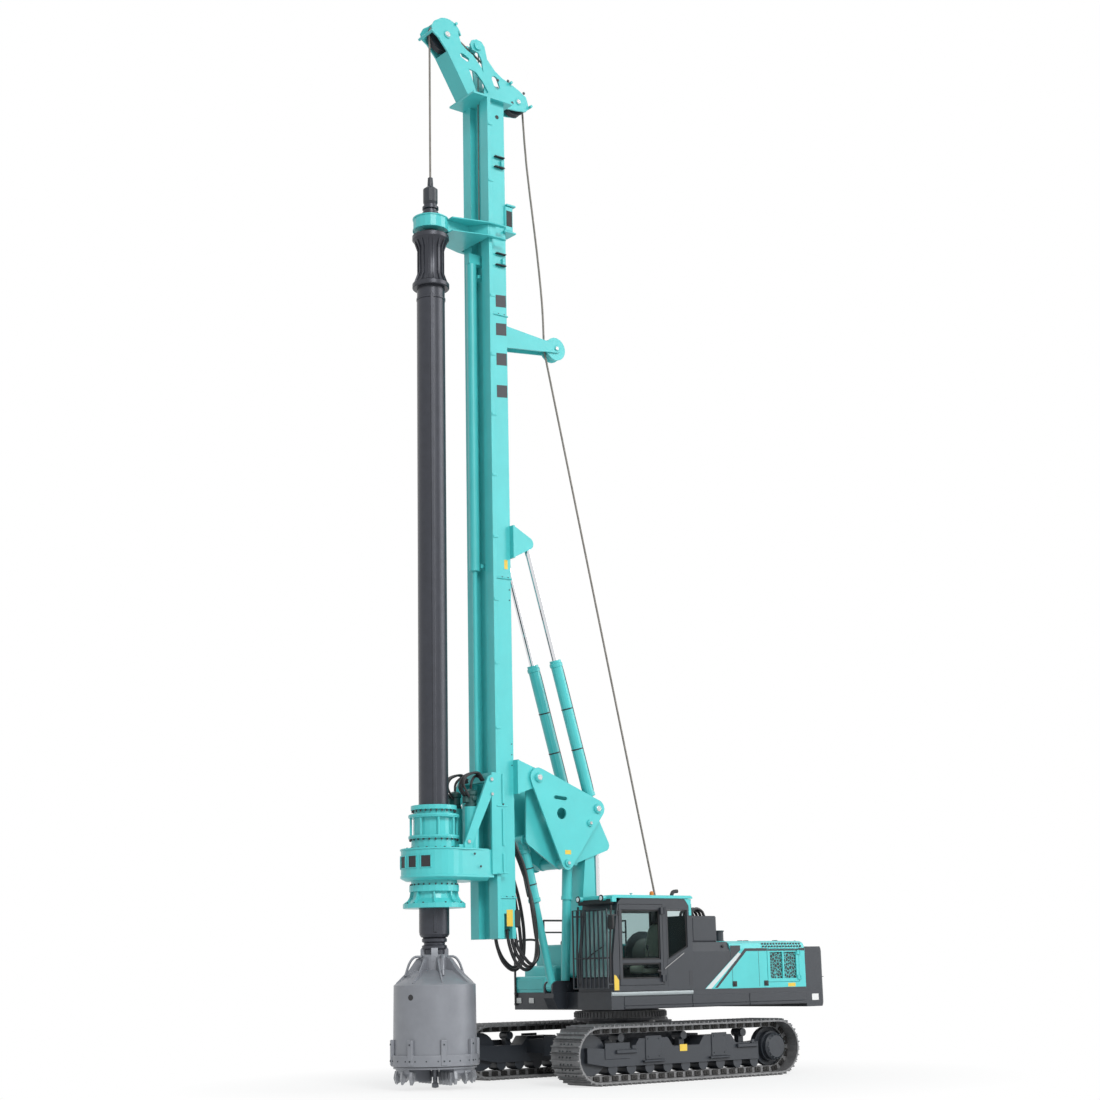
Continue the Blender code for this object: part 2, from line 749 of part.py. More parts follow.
def house():
    shell = lengthwise([hood_section(0)], -DECK_REAR, -HOUSE_FRONT)
    hollow = lengthwise([hood_section(HOUSE_WALL)], HOUSE_WALL - DECK_REAR, -HOUSE_FRONT - HOUSE_WALL)
    moved(hollow, (0, 0, -GAP))
    opening = box(
        (GRILLE_DOOR_HINGE_X + HINGE_R, -RIGHT_SIDE - OVERRUN, DOOR_LOW), (-DOOR_FRONT, LEFT_SIDE + OVERRUN, DOOR_HIGH)
    )
    floor = box(
        (HOUSE_WALL - DECK_REAR, HOUSE_WALL - RIGHT_SIDE, DECK_TOP - OVERRUN),
        (-HOUSE_FRONT - HOUSE_WALL, LEFT_SIDE - HOUSE_WALL, DECK_TOP + OVERRUN),
    )
    whole = cut(shell, hollow, opening, floor)
    stack = rod((EXHAUST[0], EXHAUST[1], HOUSE_TOP - SINK), (EXHAUST[0], EXHAUST[1], EXHAUST_TOP), EXHAUST_R, 16)
    return joined(whole, stack)


fit(house(), "engine_hood", TEAL, "upper")
fit(
    box((ENGINE_LOW[0], ENGINE_LOW[1], DECK_TOP + GAP), (ENGINE_HIGH[0], ENGINE_HIGH[1], ENGINE_TOP)),
    "engine",
    STEEL,
    "upper",
)


def hood_door(side, name, body):
    """A grille door flush with the hood's side, with a hinge strap that lies on the hood behind it."""
    outer = LEFT_SIDE if side > 0 else -RIGHT_SIDE
    rear = GRILLE_DOOR_HINGE_X + HINGE_R + DOOR_GAP
    low, high = sorted((outer, outer - side * DOOR_T))
    front = -DOOR_FRONT - DOOR_GAP * 2
    outline = rectangle((rear, DOOR_LOW + DOOR_GAP), (front, DOOR_HIGH - DOOR_GAP))
    middle = (rear + front) / 2
    sill, lintel = DOOR_LOW + DOOR_RIM, DOOR_HIGH - DOOR_RIM
    panes = [
        rectangle((rear + DOOR_RIM, sill), (middle - DOOR_BAR / 2, lintel)),
        rectangle((middle + DOOR_BAR / 2, sill), (front - DOOR_RIM, lintel)),
    ]
    panel = side_plate([outline, *panes], low, high)
    seat_y, sunk_y, hinge_y = outer + side * RUN_GAP, outer - side * SINK, outer + side * DOOR_HINGE_OUT
    strap = [(GRILLE_DOOR_HINGE_X, seat_y), (rear + SINK, seat_y), (rear + SINK, sunk_y)]
    strap += [(rear + SINK * 5, sunk_y), (rear + SINK * 5, hinge_y), (GRILLE_DOOR_HINGE_X, hinge_y)]
    pieces = []
    for z in (DOOR_LOW + DOOR_T, DOOR_HIGH - DOOR_T * 3):
        pieces.append(plan_plate([strap], z, z + DOOR_T * 2))
        pin = (GRILLE_DOOR_HINGE_X, hinge_y)
        pieces.append(rod((*pin, z), (*pin, z + DOOR_T * 2), HINGE_R, 8))
    fit(joined(panel, *pieces), name, TEAL, body)


hood_door(1, "left_grille_door", "left_hood_door")
hood_door(-1, "right_grille_door", "right_hood_door")


def counterweight():
    r = CW_ROUND
    outline = [(-CW_FRONT, -RIGHT_SIDE), (-CW_FRONT, LEFT_SIDE)]
    outline += arc((-REAR_X + r, LEFT_SIDE - r), r, 90, 180, 4)
    outline += arc((-REAR_X + r, -RIGHT_SIDE + r), r, 180, 270, 4)
    run, rise = CW_BEVEL
    side = [(OVERRUN - CW_FRONT, CW_LOW), (OVERRUN - CW_FRONT, CW_TOP), (run - REAR_X, CW_TOP)]
    side += [(-REAR_X, CW_TOP - rise), (-REAR_X, CW_LOW + rise), (run - REAR_X, CW_LOW)]
    block = plan_plate([outline], CW_LOW - OVERRUN, CW_TOP + OVERRUN)
    bevels = side_plate([side], -RIGHT_SIDE - OVERRUN, LEFT_SIDE + OVERRUN)
    return combined(block, [bevels], "INTERSECT")


fit(counterweight(), "counterweight", CHARCOAL, "upper")

SIDE_BOX_INNER = 0.62
SIDE_BOX_TOP = 2.40
CAB_REAR = 0.47
REAR_BOX_TOP = 2.96
REAR_BOX = (-1.25, -0.58)
TANK_INNER = -0.50
# front of each step of the right-hand boxes, and its top
TANK_STEPS = ((DECK_FRONT, 1.82), (1.17, 2.05), (0.87, 2.49))


def side_box():
    low = DECK_TOP + GAP
    lower = box((GAP - HOUSE_FRONT, SIDE_BOX_INNER, low), (-CAB_REAR - CLEARANCE, LEFT_SIDE, SIDE_BOX_TOP))
    upper = box((REAR_BOX[0], SIDE_BOX_INNER, SIDE_BOX_TOP - SINK), (REAR_BOX[1], LEFT_SIDE - HOUSE_ROUND, REAR_BOX_TOP))
    return joined(lower, upper)


def tank():
    low = DECK_TOP + GAP
    outline = [(GAP - HOUSE_FRONT, low), (DECK_FRONT, low), (DECK_FRONT, TANK_STEPS[0][1])]
    for (front, top), (_, before) in zip(TANK_STEPS[1:], TANK_STEPS):
        outline += [(front, before), (front, top)]
    outline.append((GAP - HOUSE_FRONT, TANK_STEPS[-1][1]))
    return side_plate([outline], -RIGHT_SIDE, TANK_INNER)


fit(side_box(), "side_box", CHARCOAL, "upper")
fit(tank(), "tank_boxes", TEAL, "upper")


# Cab: hollow shell with its windows cut, a hinged door, guard bars and a seat

CAB_LOW = DECK_TOP + GAP
CAB_FRONT = 1.47
CAB_KNEE_Z = 2.20
CAB_BROW_X = 1.34
CAB_TOP = 3.27
CAB_OUT = 1.62
CAB_WALL = 0.06
CAB_ROUND = 0.10
DOOR_SILL = 1.70
DOOR_HEAD = 3.16
DOOR_REAR = 0.26
DOOR_NOSE = 1.32
WINDOW_LOW = 2.16
WINDOW_HIGH = 3.06
QUARTER_RISE = 0.22
ROOF_T = 0.055
ROOF_OUT = 0.02
ROOF_LIP = 0.13               # how far the roof runs past the brow
ROOF_LIP_DROP = 0.07
LAMP_R = 0.06
LAMP_LENGTH = 0.11
LAMP_IN = 0.17
GUARD_X = 1.60
BAR_T = 0.024
GUARD_BARS = 9


def cab_outline(inset):
    low = CAB_LOW + (inset if inset else 0)
    return [
        (-CAB_REAR + inset, low),
        (CAB_FRONT - inset, low),
        (CAB_FRONT - inset, CAB_KNEE_Z),
        (CAB_BROW_X - inset, CAB_TOP - CAB_ROUND),
        (CAB_BROW_X - CAB_ROUND, CAB_TOP - inset),
        (-CAB_REAR + CAB_ROUND, CAB_TOP - inset),
        (-CAB_REAR + inset, CAB_TOP - CAB_ROUND),
    ]


def cab():
    shell = side_plate([cab_outline(0)], CAB_INNER, CAB_OUT)
    hollow = side_plate([cab_outline(CAB_WALL)], CAB_INNER + CAB_WALL, CAB_OUT - CAB_WALL)
    front = box(
        (CAB_BROW_X - CAB_ROUND - OVERRUN, CAB_INNER + CAB_WALL, CAB_LOW + CAB_WALL * 4),
        (CAB_FRONT + OVERRUN, CAB_OUT - CAB_WALL, CAB_TOP - CAB_ROUND * 2),
    )
    doorway = box((DOOR_REAR, CAB_OUT - CAB_WALL - OVERRUN, DOOR_SILL), (DOOR_NOSE, CAB_OUT + OVERRUN, DOOR_HEAD))
    rear_x, front_x = -CAB_REAR + CAB_WALL * 2, DOOR_REAR - CAB_WALL * 2
    pane = [(rear_x, WINDOW_LOW + QUARTER_RISE), (front_x, WINDOW_LOW), (front_x, WINDOW_HIGH), (rear_x, WINDOW_HIGH)]
    quarter = side_plate([pane], CAB_OUT - CAB_WALL - OVERRUN, CAB_OUT + OVERRUN)
    inner = box(
        (-CAB_REAR + CAB_WALL * 3, CAB_INNER - OVERRUN, WINDOW_LOW),
        (CAB_BROW_X - CAB_WALL * 3, CAB_INNER + CAB_WALL + OVERRUN, WINDOW_HIGH),
    )
    rear = box(
        (-CAB_REAR - OVERRUN, CAB_INNER + CAB_WALL * 2, REAR_BOX_TOP),
        (-CAB_REAR + CAB_WALL + OVERRUN, CAB_OUT - CAB_WALL * 2, DOOR_HEAD),
    )
    return cut(shell, hollow, front, doorway, quarter, inner, rear)


fit(cab(), "cab_shell", CHARCOAL, "upper")


def cab_roof():
    """The roof skin with its front lip and two work lamps on the lip."""
    low = CAB_TOP + GAP
    nose = CAB_BROW_X + ROOF_LIP
    outline = [(-CAB_REAR - ROOF_OUT, low), (CAB_BROW_X + SINK * 3, low), (CAB_BROW_X + SINK * 3, low - ROOF_LIP_DROP)]
    outline += [(nose, low - ROOF_LIP_DROP), (nose, low + ROOF_T / 2), (nose - ROOF_T, low + ROOF_T)]
    outline += [(ROOF_T / 2 - CAB_REAR, low + ROOF_T), (-CAB_REAR - ROOF_OUT, low + ROOF_T / 2)]
    skin = side_plate([outline], CAB_INNER - ROOF_OUT, CAB_OUT + ROOF_OUT)
    lamps = []
    for y in (CAB_INNER + LAMP_IN, CAB_OUT - LAMP_IN):
        lamps.append(rod((nose - SINK, y, low), (nose + LAMP_LENGTH, y, low), LAMP_R * 0.6, 12, LAMP_R))
    return joined(skin, *lamps)


fit(cab_roof(), "cab_roof", TEAL, "upper")


def cab_door():
    low, high = CAB_OUT - CAB_WALL, CAB_OUT
    x0, x1 = DOOR_REAR + DOOR_GAP, DOOR_NOSE - DOOR_GAP * 2
    outline = rectangle((x0, DOOR_SILL + DOOR_GAP), (x1, DOOR_HEAD - DOOR_GAP))
    upper = rectangle((x0 + CAB_WALL, WINDOW_LOW), (x1 - CAB_WALL, WINDOW_HIGH))
    lower = rectangle((x0 + CAB_WALL, DOOR_SILL + CAB_WALL * 2), (x1 - CAB_WALL, WINDOW_LOW - CAB_WALL))
    panel = side_plate([outline, upper, lower], low, high)
    hinge_x, hinge_y = CAB_DOOR_HINGE
    strap = [(hinge_x, high + RUN_GAP), (x0 + SINK, high + RUN_GAP), (x0 + SINK, high - SINK)]
    strap += [(x0 + CAB_WALL, high - SINK), (x0 + CAB_WALL, hinge_y), (hinge_x, hinge_y)]
    pieces = []
    for z in (DOOR_SILL + CAB_WALL, DOOR_HEAD - CAB_WALL * 3):
        pieces.append(plan_plate([strap], z, z + CAB_WALL * 2))
        pieces.append(rod((hinge_x, hinge_y, z), (hinge_x, hinge_y, z + CAB_WALL * 2), HINGE_R, 8))
    return joined(panel, *pieces)


fit(cab_door(), "cab_door", CHARCOAL, "cab_door")


def front_guard():
    """Vertical bars between rails, ahead of the windscreen, on four short stays."""
    y0, y1 = CAB_INNER, CAB_OUT
    levels = (CAB_LOW + CAB_WALL, CAB_KNEE_Z, CAB_TOP - CAB_ROUND * 2)
    rail_half = BAR_T / 3
    bar_x = GUARD_X - BAR_T / 2
    pieces = []
    for bar in range(GUARD_BARS):
        y = y0 + (y1 - y0 - BAR_T) * bar / (GUARD_BARS - 1)
        pieces.append(box((GUARD_X - BAR_T, y, levels[0]), (GUARD_X, y + BAR_T, levels[-1])))
    for z in levels:
        pieces.append(
            box((bar_x - rail_half, y0 + SINK, z - rail_half), (bar_x + rail_half, y1 - SINK, z + rail_half))
        )
    high = levels[-1] - CAB_WALL * 2
    slant = (high - CAB_KNEE_Z) / (CAB_TOP - CAB_ROUND - CAB_KNEE_Z)
    for y in (y0 + BAR_T / 4, y1 - BAR_T * 3 / 4):
        for low, face in ((CAB_LOW + CAB_WALL * 2, CAB_FRONT), (high, CAB_FRONT + (CAB_BROW_X - CAB_FRONT) * slant)):
            pieces.append(box((face + GAP, y, low), (bar_x, y + BAR_T / 2, low + BAR_T)))
    return welded(*pieces)


fit(front_guard(), "front_guard", CHARCOAL, "upper")

SEAT_X = 0.25
SEAT_Y = (CAB_INNER + CAB_OUT) / 2
SEAT_HALF = 0.26
SEAT_LOW_Z = CAB_LOW + CAB_WALL + GAP
SEAT_TOP_Z = 2.15
BACK_TOP_Z = 2.85
BACK_T = 0.12


def seat():
    outline = [
        (SEAT_X - SEAT_HALF, SEAT_LOW_Z),
        (SEAT_X + SEAT_HALF, SEAT_LOW_Z),
        (SEAT_X + SEAT_HALF, SEAT_TOP_Z),
        (SEAT_X - SEAT_HALF + BACK_T, SEAT_TOP_Z),
        (SEAT_X - SEAT_HALF, BACK_TOP_Z),
        (SEAT_X - SEAT_HALF - BACK_T, BACK_TOP_Z),
    ]
    return side_plate([outline], SEAT_Y - SEAT_HALF, SEAT_Y + SEAT_HALF)


fit(seat(), "seat", RUBBER, "upper")


# Front linkage: arm, link, strut and luffing cylinder under the triangle plates

ARM_T = 0.17
EYE_R = 0.10
HOLE_R = PIN_R + RUN_GAP


def arm():
    outline = wrapped([(ARM_FOOT, EYE_R), (ARM_HEAD, EYE_R), (between(ARM_FOOT, ARM_HEAD, 0.5), ARM_T)])
    return side_plate([outline, hole(ARM_FOOT, HOLE_R), hole(ARM_HEAD, HOLE_R)], -ARM_HALF, ARM_HALF)


fit(arm(), "arm", TEAL, "arm")


def eye_bar(foot, head, half, thick_r, thin_r, split, y=0.0):
    """A round bar between two eyes, thick from its head down to the split, thin below."""
    middle = between(foot, head, split)
    upper = rod(in_plane(middle, y), in_plane(head, y), thick_r, 16)
    collar = rod(in_plane(middle, y), in_plane(between(foot, head, split + 0.03), y), thick_r + SINK, 16)
    lower = rod(in_plane(foot, y), in_plane(between(foot, head, split + 0.01), y), thin_r, 16)
    eyes = [cross_rod(foot, half, EYE_R, 16, y), cross_rod(head, half, EYE_R, 16, y)]
    whole = joined(upper, collar, lower, *eyes)
    holes = [drill(at, half * 2, HOLE_R, y) for at in (foot, head)]
    return cut(whole, *holes)


fit(eye_bar(LINK_FOOT, LINK_HEAD, LINK_HALF, LINK_THICK_R, LINK_THIN_R, LINK_SPLIT_SHARE), "link", TEAL, "link")


def barrel(foot, head, stop_share, radius, bore, half, y=0.0, neck_share=0.0, neck_r=0.0):
    """A cylinder barrel with an eye at its foot and an open bore towards its head."""
    stop = between(foot, head, stop_share)
    start = between(foot, head, neck_share)
    tube = rod(in_plane(start, y), in_plane(stop, y), radius, 16)
    pieces = [cross_rod(foot, half, EYE_R, 16, y)]
    if neck_share:
        pieces.append(rod(in_plane(foot, y), in_plane(between(foot, head, neck_share + 0.02), y), neck_r, 12))
    whole = joined(tube, *pieces)
    length = (Vector(head) - Vector(foot)).length
    inside = between(foot, head, max(neck_share + 0.04, 0.12))
    past = between(foot, head, stop_share + OVERRUN / length)
    return cut(
        whole,
        rod(in_plane(inside, y), in_plane(past, y), bore, 16),
        drill(foot, half * 2, HOLE_R, y),
    )


def piston(foot, head, start_share, radius, half, y=0.0, eye_r=EYE_R):
    """A cylinder rod with a plain eye at its head; the head's lugs hold no pin across it."""
    bar = rod(in_plane(between(foot, head, start_share), y), in_plane(head, y), radius, 16)
    return joined(bar, cross_rod(head, half, eye_r, 16, y))


LUFF_R = 0.11
LUFF_ROD_R = 0.06
STRUT_R = 0.105
STRUT_ROD_R = 0.075
fit(
    barrel(LUFF_FOOT, LUFF_HEAD, 0.62, LUFF_R, LUFF_ROD_R + RUN_GAP, LUFF_HALF, 0, 0.08, 0.08),
    "luff_barrel",
    TEAL,
    "luff_barrel",
)
fit(piston(LUFF_FOOT, LUFF_HEAD, 0.25, LUFF_ROD_R, LUFF_HALF - OVERRUN), "luff_rod", CHROME, "luff_rod")
fit(
    barrel(STRUT_HEAD, STRUT_FOOT, 0.42, STRUT_R, STRUT_ROD_R + RUN_GAP, STRUT_HALF),
    "strut_barrel",
    TEAL,
    "strut_barrel",
)
fit(piston(STRUT_HEAD, STRUT_FOOT, 0.25, STRUT_ROD_R, STRUT_HALF - OVERRUN), "strut_rod", TEAL, "strut_rod")

PLATE_Y = 0.48
PLATE_T = 0.04
LOBE_R = 0.13
PIVOT_R = 0.19
TILT_LOBE_R = 0.17
INNER_PLATE_T = 0.04
HOLE_AT = (1.72, 4.88)
BIG_HOLE_R = 0.11
SLOT_AT = ((1.62, 5.16), (1.86, 5.18))
SLOT_R = 0.035
BOSS_AT = (1.05, 4.72)
BOSS_R = 0.07
CAP_R = 0.10
CAP_OUT = 0.035
TILT_Y = 0.36


def triangle():
    """Two outer plates joined by cross tubes, with inner plates that hold arm, link, strut and cylinder."""
    outline = wrapped([(MAST_PIVOT, PIVOT_R), (TILT_FOOT, TILT_LOBE_R), (LOBE, LOBE_R)])
    window = ring(HOLE_AT, BIG_HOLE_R, 16)
    slot = wrapped([(at, SLOT_R) for at in SLOT_AT], 12)
    pieces = []
    for low in (PLATE_Y, -PLATE_Y - PLATE_T):
        pieces.append(side_plate([outline, window, slot], low, low + PLATE_T))
    cap_half = PLATE_Y + PLATE_T + CAP_OUT
    for sign in (1, -1):
        for at, radius in ((TILT_FOOT, CAP_R), (MAST_PIVOT, CAP_R), (LOBE, CAP_R * 0.8), (BOSS_AT, BOSS_R)):
            start = in_plane(at, sign * (PLATE_Y + PLATE_T - SINK))
            pieces.append(rod(start, in_plane(at, sign * cap_half), radius, 16, radius * 0.88))
    held = (STRUT_HEAD, LOBE, MAST_PIVOT, LUFF_HEAD, TILT_FOOT, ARM_HEAD)
    inner = wrapped([(at, EYE_R + SINK) for at in held], 12)
    near = ARM_HALF + GAP
    for low in (near, -near - INNER_PLATE_T):
        pieces.append(side_plate([inner, window], low, low + INNER_PLATE_T))
    wide = PLATE_Y + PLATE_T + SINK
    pieces.append(cross_rod(TILT_FOOT, wide, PIN_R, 12))
    pieces.append(cross_rod(MAST_PIVOT, wide, PIN_R, 12))
    for at in (ARM_HEAD, LINK_HEAD, STRUT_HEAD):
        pieces.append(cross_rod(at, near + SINK, PIN_R, 12))
    pieces.append(cross_rod(LOBE, PLATE_Y + SINK, EYE_R, 12))
    pieces.append(cross_rod(between(TILT_FOOT, MAST_PIVOT, 0.5), near + SINK, EYE_R, 12))
    return joined(pieces[0], *pieces[1:])


fit(triangle(), "triangle_frame", TEAL, "triangle")

TILT_R = 0.11
TILT_ROD_R = 0.06
TILT_EYE_HALF = TILT_Y - ARM_HALF - INNER_PLATE_T - CLEARANCE * 2
for side, sign in (("left", 1), ("right", -1)):
    fit(
        barrel(
            TILT_FOOT, TILT_HEAD, 0.56, TILT_R, TILT_ROD_R + RUN_GAP, TILT_EYE_HALF, sign * TILT_Y, 0.06, 0.07
        ),
        side + "_tilt_barrel",
        TEAL,
        "tilt_barrels",
    )
    fit(
        piston(TILT_FOOT, TILT_HEAD, 0.42, TILT_ROD_R, 0.045, sign * TILT_Y, 0.085),
        side + "_tilt_rod",
        CHROME,
        "tilt_rods",
    )


# Mast: a box column with guide rails along its front edges, its brackets and its head

MAST_REAR = 2.69
RAIL_T = 0.08
RAIL_HALF = 0.43
BOX_HALF = 0.33
CHEEK_Y = ARM_HALF + INNER_PLATE_T + CLEARANCE
LUG_T = 0.05
LUG_R = 0.16
TILT_LUG_T = 0.025
TILT_LUG_GAP = 0.066
TILT_LUG_R = 0.12
ROLLER_ARM_Y = 0.11
ROLLER_ARM_T = 0.03
ROLLER_ARM_R = 0.09
ROLLER_ARM_ROOT = 0.24
BARREL_X = MAST_FRONT + 0.13
CROWD_R = 0.10
CROWD_ROD_R = 0.05
CROWD_LOW = 9.46
CROWD_HIGH = 15.70
CLEVIS_HALF = 0.07
CHANNEL_HALF = 0.17
CHANNEL_DEEP = 0.13
FOOT_SLOT_HALF = 0.09
FOOT_SLOT_TOP = 0.45


def mast():
    rear = MAST_REAR
    shelf = MAST_FRONT - RAIL_T
    channel = MAST_FRONT - CHANNEL_DEEP
    outline = [(rear, -BOX_HALF), (shelf, -BOX_HALF), (shelf, -RAIL_HALF), (MAST_FRONT, -RAIL_HALF)]
    outline += [(MAST_FRONT, -CHANNEL_HALF), (channel, -CHANNEL_HALF)]
    outline += [(x, -y) for x, y in reversed(outline)]
    column = plan_plate([outline], MAST_FOOT_Z, MAST_TOP_Z)
    root_x = rear + SINK
    pieces = []
    root_low, root_high = MAST_PIVOT[1] - LUG_R * 2, MAST_PIVOT[1] + LUG_R * 2
    lug = wrapped([(MAST_PIVOT, LUG_R), ((root_x, root_high), 0), ((root_x, root_low), 0)])
    near = PLATE_Y - CLEARANCE - LUG_T
    pieces.append(box((rear - SINK * 3, -near - LUG_T, root_low), (root_x, near + LUG_T, root_high)))
    for low in (near, -near - LUG_T):
        pieces.append(side_plate([lug, hole(MAST_PIVOT, HOLE_R)], low, low + LUG_T))
    high = TILT_HEAD
    tilt_lug = wrapped([(high, TILT_LUG_R), ((root_x, high[1] + LUG_R * 2), 0), ((root_x, high[1] - LUG_R * 2), 0)], 12)
    reach = TILT_Y + TILT_LUG_GAP + TILT_LUG_T
    pieces.append(box((MAST_REAR - SINK * 3, -reach, high[1] - LUG_R * 2), (root_x, reach, high[1] + LUG_R * 2)))
    for sign in (1, -1):
        for offset in (-TILT_LUG_GAP - TILT_LUG_T, TILT_LUG_GAP):
            low = sign * TILT_Y + offset
            pieces.append(side_plate([tilt_lug], low, low + TILT_LUG_T))
    roller = wrapped(
        [
            (TENSION_ROLLER, ROLLER_ARM_R),
            ((root_x, TENSION_ROLLER[1] + ROLLER_ARM_ROOT), 0),
            ((root_x, TENSION_ROLLER[1] - ROLLER_ARM_ROOT), 0),
        ]
    )
    for low in (ROLLER_ARM_Y, -ROLLER_ARM_Y - ROLLER_ARM_T):
        pieces.append(side_plate([roller, hole(TENSION_ROLLER, HOLE_R)], low, low + ROLLER_ARM_T))
    clevis = box(
        (channel - SINK, -CLEVIS_HALF, CROWD_HIGH + GAP), (BARREL_X + CROWD_R, CLEVIS_HALF, CROWD_HIGH + CLEVIS_HALF * 3)
    )
    pieces.append(clevis)
    for z in (CROWD_LOW + CLEVIS_HALF, CROWD_HIGH - CLEVIS_HALF * 4):
        pieces.append(
            box((channel - SINK, -CLEVIS_HALF, z), (BARREL_X - CROWD_R - GAP * 3, CLEVIS_HALF, z + CLEVIS_HALF))
        )
    middle = (MAST_REAR + channel) / 2
    recess = box(
        (middle - FOOT_SLOT_HALF, -BOX_HALF - OVERRUN, MAST_FOOT_Z - OVERRUN),
        (middle + FOOT_SLOT_HALF, BOX_HALF + OVERRUN, MAST_FOOT_Z + FOOT_SLOT_TOP),
    )
    return cut(joined(column, *pieces), recess)


fit(mast(), "mast", TEAL, "mast")


def crowd_barrel():
    tube = rod((BARREL_X, 0, CROWD_LOW), (BARREL_X, 0, CROWD_HIGH), CROWD_R, 20)
    return cut(
        tube,
        rod((BARREL_X, 0, CROWD_LOW - OVERRUN), (BARREL_X, 0, CROWD_HIGH - CLEVIS_HALF), CROWD_ROD_R + RUN_GAP, 16),
    )


fit(crowd_barrel(), "crowd_barrel", TEAL, "mast")

HEAD_Y = 0.15
HEAD_T = 0.035
HEAD_PLATE_T = 0.04
SHEAVE_HALF = 0.07
SHEAVE_PIN_R = 0.06
GROOVE = 0.02
GROOVE_SHARE = 0.2
HEAD_BASE_FRONT = 3.50
ARCH_OUT = 0.065              # arch over the front sheave, outside the sheave's radius
ARCH_T = 0.03
KEEPER_R = 0.03
HEAD_ROLLER = (3.22, 20.41)
HEAD_ROLLER_R = 0.09
HEAD_FLOOR = MAST_TOP_Z + GAP + HEAD_PLATE_T - SINK
# Outlines of the cheeks, (x, z). The front one is a beam with a lobe for the sheave and a bent brace
FRONT_CHEEK = (
    (3.22, HEAD_FLOOR),
    (3.48, HEAD_FLOOR),
    (3.99, 20.06),
    (4.20, 20.30),
    (4.33, 20.38),
    (4.36, 20.50),
    (4.29, 20.63),
    (4.16, 20.72),
    (4.00, 20.75),
    (3.84, 20.745),
    (3.72, 20.66),
    (3.70, 20.48),
    (3.64, 20.32),
    (3.50, 20.22),
    (3.36, 20.16),
    (3.15, 19.95),
    (2.98, 19.60),
    (2.98, 19.44),
    (3.12, 19.64),
    (3.29, 19.80),
    (3.46, 19.83),
)
REAR_CHEEK = (
    (1.93, 19.40),
    (2.01, 19.30),
    (2.24, 19.26),
    (2.56, HEAD_FLOOR),
    (3.08, HEAD_FLOOR),
    (3.05, 19.62),
    (3.11, 20.11),
    (3.20, 20.27),
    (3.35, 20.30),
    (3.40, 20.41),
    (3.35, 20.51),
    (3.24, 20.56),
    (3.12, 20.54),
    (3.04, 20.45),
    (2.98, 20.19),
    (2.79, 19.99),
    (2.61, 19.88),
    (2.41, 19.82),
    (2.21, 19.74),
    (2.00, 19.63),
)
CHEEK_HOLE = ((2.80, 19.80), (2.74, 19.66))
CHEEK_HOLE_R = 0.07
BEAM_HOLE = ((3.62, 20.07), (3.50, 20.02))
BEAM_HOLE_R = 0.05
KEEPERS = ((4.35, 20.39), (3.775, 20.715), (2.41, 19.82), (1.91, 19.43))


def head():
    """A base plate on the mast, two rear cheeks for the rear sheave, two front cheeks for the front one."""
    base_z = MAST_TOP_Z + GAP
    base = box((MAST_REAR - LUG_R, -RAIL_HALF, base_z), (HEAD_BASE_FRONT, RAIL_HALF, base_z + HEAD_PLATE_T))
    rear_holes = [hole(REAR_SHEAVE, SHEAVE_PIN_R + RUN_GAP), wrapped([(at, CHEEK_HOLE_R) for at in CHEEK_HOLE], 12)]
    front_holes = [hole(FRONT_SHEAVE, SHEAVE_PIN_R + RUN_GAP), wrapped([(at, BEAM_HOLE_R) for at in BEAM_HOLE], 12)]
    pieces = []
    for sign in (1, -1):
        for outline, holes, step in ((REAR_CHEEK, rear_holes, 0), (FRONT_CHEEK, front_holes, HEAD_T - SINK / 2)):
            a, b = sorted((sign * (HEAD_Y + step), sign * (HEAD_Y + step + HEAD_T)))
            pieces.append(side_plate([outline, *holes], a, b))
    wide = HEAD_Y + HEAD_T * 2 - SINK
    inner, outer = FRONT_SHEAVE_R + ARCH_OUT - ARCH_T, FRONT_SHEAVE_R + ARCH_OUT
    band = arc(FRONT_SHEAVE, outer, 60, 165, 10) + arc(FRONT_SHEAVE, inner, 165, 60, 10)
    pieces.append(side_plate([band], -wide, wide))
    front_edge = [FRONT_CHEEK[1], FRONT_CHEEK[2], between(FRONT_CHEEK[2], FRONT_CHEEK[0], 0.05)]
    front_edge.append((FRONT_CHEEK[1][0] - ARCH_T, HEAD_FLOOR))
    pieces.append(side_plate([front_edge], -wide, wide))
    for at in KEEPERS:
        pieces.append(cross_rod(at, wide + SINK * 4, KEEPER_R, 10))
    pieces.append(cross_rod(HEAD_ROLLER, HEAD_Y + SINK, HEAD_ROLLER_R, 16))
    for sign in (1, -1):
        start, end = sorted((sign * (HEAD_Y + HEAD_T - SINK), sign * (HEAD_Y + HEAD_T * 2)))
        pieces.append(rod(in_plane(HEAD_ROLLER, start), in_plane(HEAD_ROLLER, end), HEAD_ROLLER_R, 12))
    return welded(base, *pieces)


fit(head(), "mast_head", TEAL, "mast")


def sheave(at, radius, half, reach, body, name, material=CHARCOAL):
    profile = [
        (0, reach),
        (SHEAVE_PIN_R, reach),
        (SHEAVE_PIN_R, half),
        (radius + GROOVE, half),
        (radius - GROOVE, half * GROOVE_SHARE),
    ]
    profile += [(r, -h) for r, h in reversed(profile)]
    fit(turned(profile, "Y", in_plane(at), 24), name, material, body)


sheave(FRONT_SHEAVE, FRONT_SHEAVE_R, SHEAVE_HALF, HEAD_Y + HEAD_T * 2, "front_sheave", "front_sheave")
sheave(REAR_SHEAVE, REAR_SHEAVE_R, SHEAVE_HALF, HEAD_Y + HEAD_T, "rear_sheave", "rear_sheave")
TENSION_ROLLER_R = 0.24


